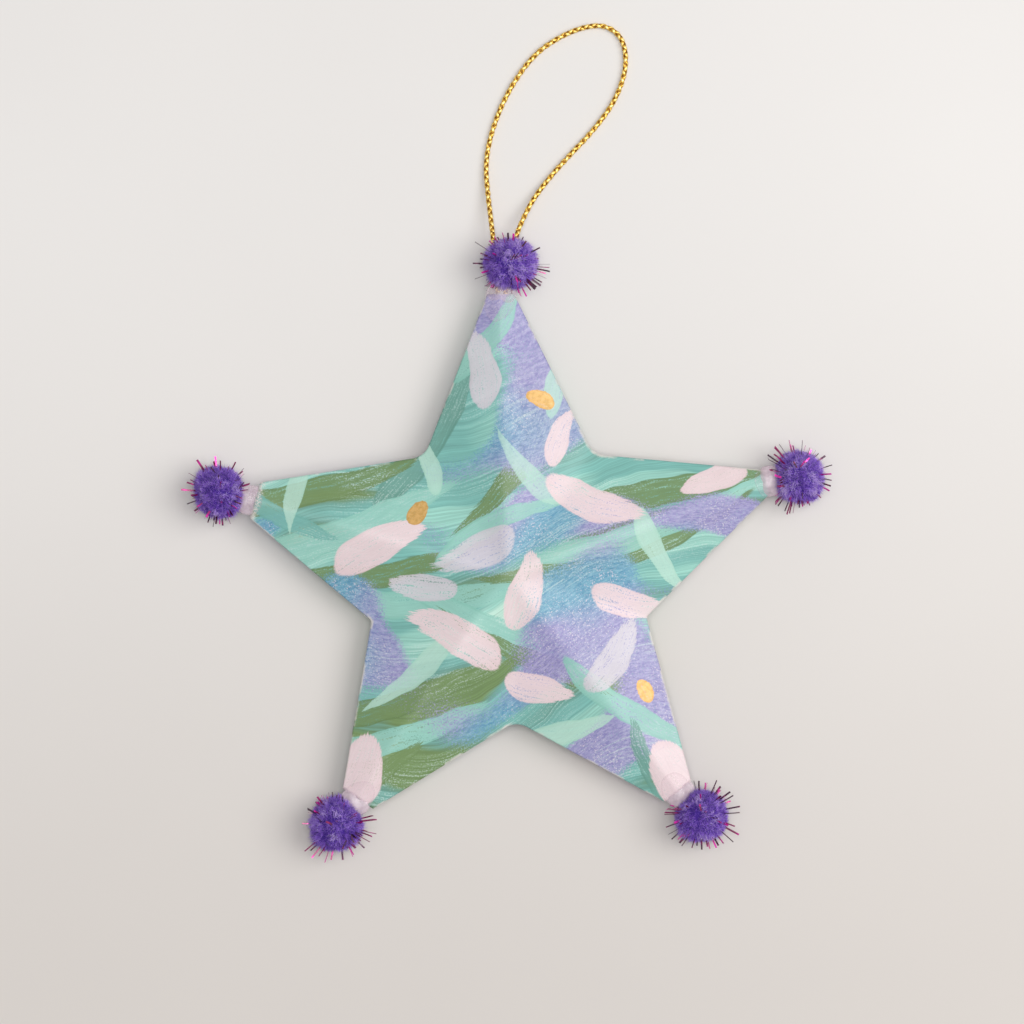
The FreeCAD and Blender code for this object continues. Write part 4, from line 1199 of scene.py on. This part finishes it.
def tinsel_strips(name, arm, seed):
    """Flat strips from inside the fluff outwards. A strip's middle line is a straight run plus a bow:
    its bend, times the place from 0 to 1, times the place less 1. Its section is a thin one with
    four corners. A strip that is seen on the fluff's face starts under that face and ends on it."""
    dice = np.random.default_rng(seed)
    rows = np.array(STRIPS[name], dtype=float)
    bearing = np.radians(rows[:, 0]) - STAR_TURN
    # The third column becomes each strip's painted reflection.
    level_reach, painted_shading = rows[:, 1], rows[:, 2] * 0.4 + 0.1
    rise = dice.uniform(-0.15, 0.45, len(rows))
    end = on_bearing(bearing, level_reach) + (level_reach * np.tan(rise))[:, None] * (0, 0, 1)
    start = unit(end) * ROOT_REACH
    on_face = level_reach < FACE_REACH
    root_bearing = bearing + dice.normal(scale=0.15, size=len(rows))
    start[on_face] = on_ball(root_bearing, np.abs(level_reach - FACE_LEAN), FACE_ROOT)[on_face]
    end[on_face] = on_ball(bearing, level_reach, FACE_TIP)[on_face]
    more = unit(dice.normal(size=(SPARE_STRIPS, 3)) * (1, 1, 0.9) - (0, 0, 0.25))
    start = np.concatenate([start, more * ROOT_REACH])
    end = np.concatenate([end, more * dice.uniform(6.2, 7.2, (SPARE_STRIPS, 1))])
    painted_shading = np.concatenate([painted_shading, dice.uniform(0.0, 0.9, SPARE_STRIPS)])
    out, count = unit(end - start), len(end)
    bend = pushes(dice, out, 0.0, 0.5)
    places = np.linspace(0, 1, 6)[None, :, None]
    lines = start[:, None] + (end - start)[:, None] * places
    lines = lines + bend[:, None] * (places * (places - 1))
    flat = unit(np.cross(out, unit(bend + 1e-6) + dice.normal(scale=0.6, size=out.shape)))
    thick = np.cross(out, flat)
    wide = dice.uniform(0.13, 0.24, (count, 1, 1, 1))
    corners = wide * np.array([1, 1, -1, -1])[:, None] * flat[:, None, None]
    corners = corners + HALF_FILM * np.array([1, -1, -1, 1])[:, None] * thick[:, None, None]
    points, fours, threes = many_skins(lines[:, :, None] + corners, lines[:, 0], lines[:, -1])
    along = np.concatenate([[0], np.repeat(places.ravel(), 4), [1]])
    # Painted glints along some strips, and painted shade towards each strip's root inside the fluff.
    glints = np.sin(8 * along + 40 * painted_shading[:, None] + np.arange(count)[:, None])
    glints = 0.38 * np.clip(glints, 0, 1) ** 3
    strip_shading = np.clip(painted_shading[:, None] * (0.5 + 0.5 * along) + glints, 0, 1)
    return points.reshape(-1, 3), [fours, threes], {"painted_shading": strip_shading}


for arm, name in enumerate(ARMS):
    points, faces, numbers = tinsel_strips(name, arm, 211 + arm)
    points = settled(points, arm, np.random.default_rng(17 + arm))
    strips = piece(f"strips_{name}", points, faces, tinsel, "star", numbers, smooth=False)
    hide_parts(f"tinsel_{name}")

# %% [markdown]
# Deep in each pom-pom a ring of thread ties the fibres. The frame has that ring already, and it only
# needs a finish: two twisted plies, drawn as slanting stripes round the ring.

# %% Binding thread
thread, nodes, shader = finish_of("binding_thread", Roughness=0.75, Sheen_Weight=0.2)
plies = nodes.stretched(nodes.position(), (2600, 2600, 5200), turn=0.7)
plies = nodes.noise(plies, 1.0, 2)
paint(
    nodes,
    shader,
    Base_Color=nodes.steps(plies, [(0.35, (0.05, 0.02, 0.16)), (0.65, (0.16, 0.08, 0.36))]),
    Normal=nodes.bump(plies, 0.6, 0.0001),
)
for name in ARMS:
    for slot in bpy.data.objects[f"binding_thread_{name}"].material_slots:
        slot.material = thread
print("binding threads finished")

# %% [markdown]
# The ornament lies on a pale table under two soft lights: one straight above, and a larger one to the
# right, which makes the facets that face it lighter than the others. The room fills the shadows a
# little. The table is painted a little darker towards the bottom and the left, as painted shade
# where the light falls off.

# %% Table and light
TABLE_HALF = 1.6
table_top, nodes, shader = finish_of("pale_table", Roughness=0.6, Specular_IOR_Level=0.2)
place = nodes.position()
across, upward, _ = nodes.add("ShaderNodeSeparateXYZ", None, vector=place).outputs
# Painted shade: the table's colour darkens towards the bottom.
share = nodes.fit(upward, -0.11, 0.10)
paper_and_painted_shade = nodes.mix((0.705, 0.662, 0.622), (0.850, 0.826, 0.800), share)
cloudy = nodes.fit(nodes.noise(place, 9, 4), 0.3, 0.7, 0.99, 1.01)
# Painted shade towards the left, over a faint noise.
cloudy = nodes.times(cloudy, nodes.fit(across, 0.0, 0.115, 0.985, 1.035))
paint(nodes, shader, Base_Color=nodes.tint(paper_and_painted_shade, cloudy))
mesh = bpy.data.meshes.new("table_top")
corners = ((-1, -1, 0), (1, -1, 0), (1, 1, 0), (-1, 1, 0))
mesh.from_pydata((np.array(corners) * TABLE_HALF).tolist(), [], [(0, 1, 2, 3)])
mesh.materials.append(table_top)
table = new_object("table_top", mesh)


def soft_light(name, place, size, watts):
    """A square light that looks at the star's middle."""
    lamp = bpy.data.lights.new(name, "AREA")
    lamp.size, lamp.energy = size, watts
    lamp.color = (1.0, 0.993, 0.985)
    thing = new_object(name, lamp)
    thing.location = place
    thing.rotation_euler = Vector(place).to_track_quat("Z", "Y").to_euler()


soft_light("overhead", (0.0, 0.12, 2.4), 0.9, 19.0)
soft_light("window", (1.47, 0.155, 1.89), 1.75, 30.0)
room = bpy.data.worlds.new("room")
room.use_nodes = True
nodes = Nodes(room.node_tree)
rays = nodes.add("ShaderNodeLightPath").outputs
mirrored = nodes.maths("MAXIMUM", rays["Is Glossy Ray"], rays["Is Transmission Ray"])
seen = nodes.maths("MAXIMUM", rays["Is Camera Ray"], mirrored)
air = room.node_tree.nodes["Background"]
air.inputs["Color"].default_value = (0.98, 0.98, 1.0, 1)
room.node_tree.links.new(nodes.fit(seen, 0.0, 1.0, 0.31, 1.0), air.inputs["Strength"])
bpy.context.scene.world = room
bpy.context.scene.view_settings.view_transform = "Standard"
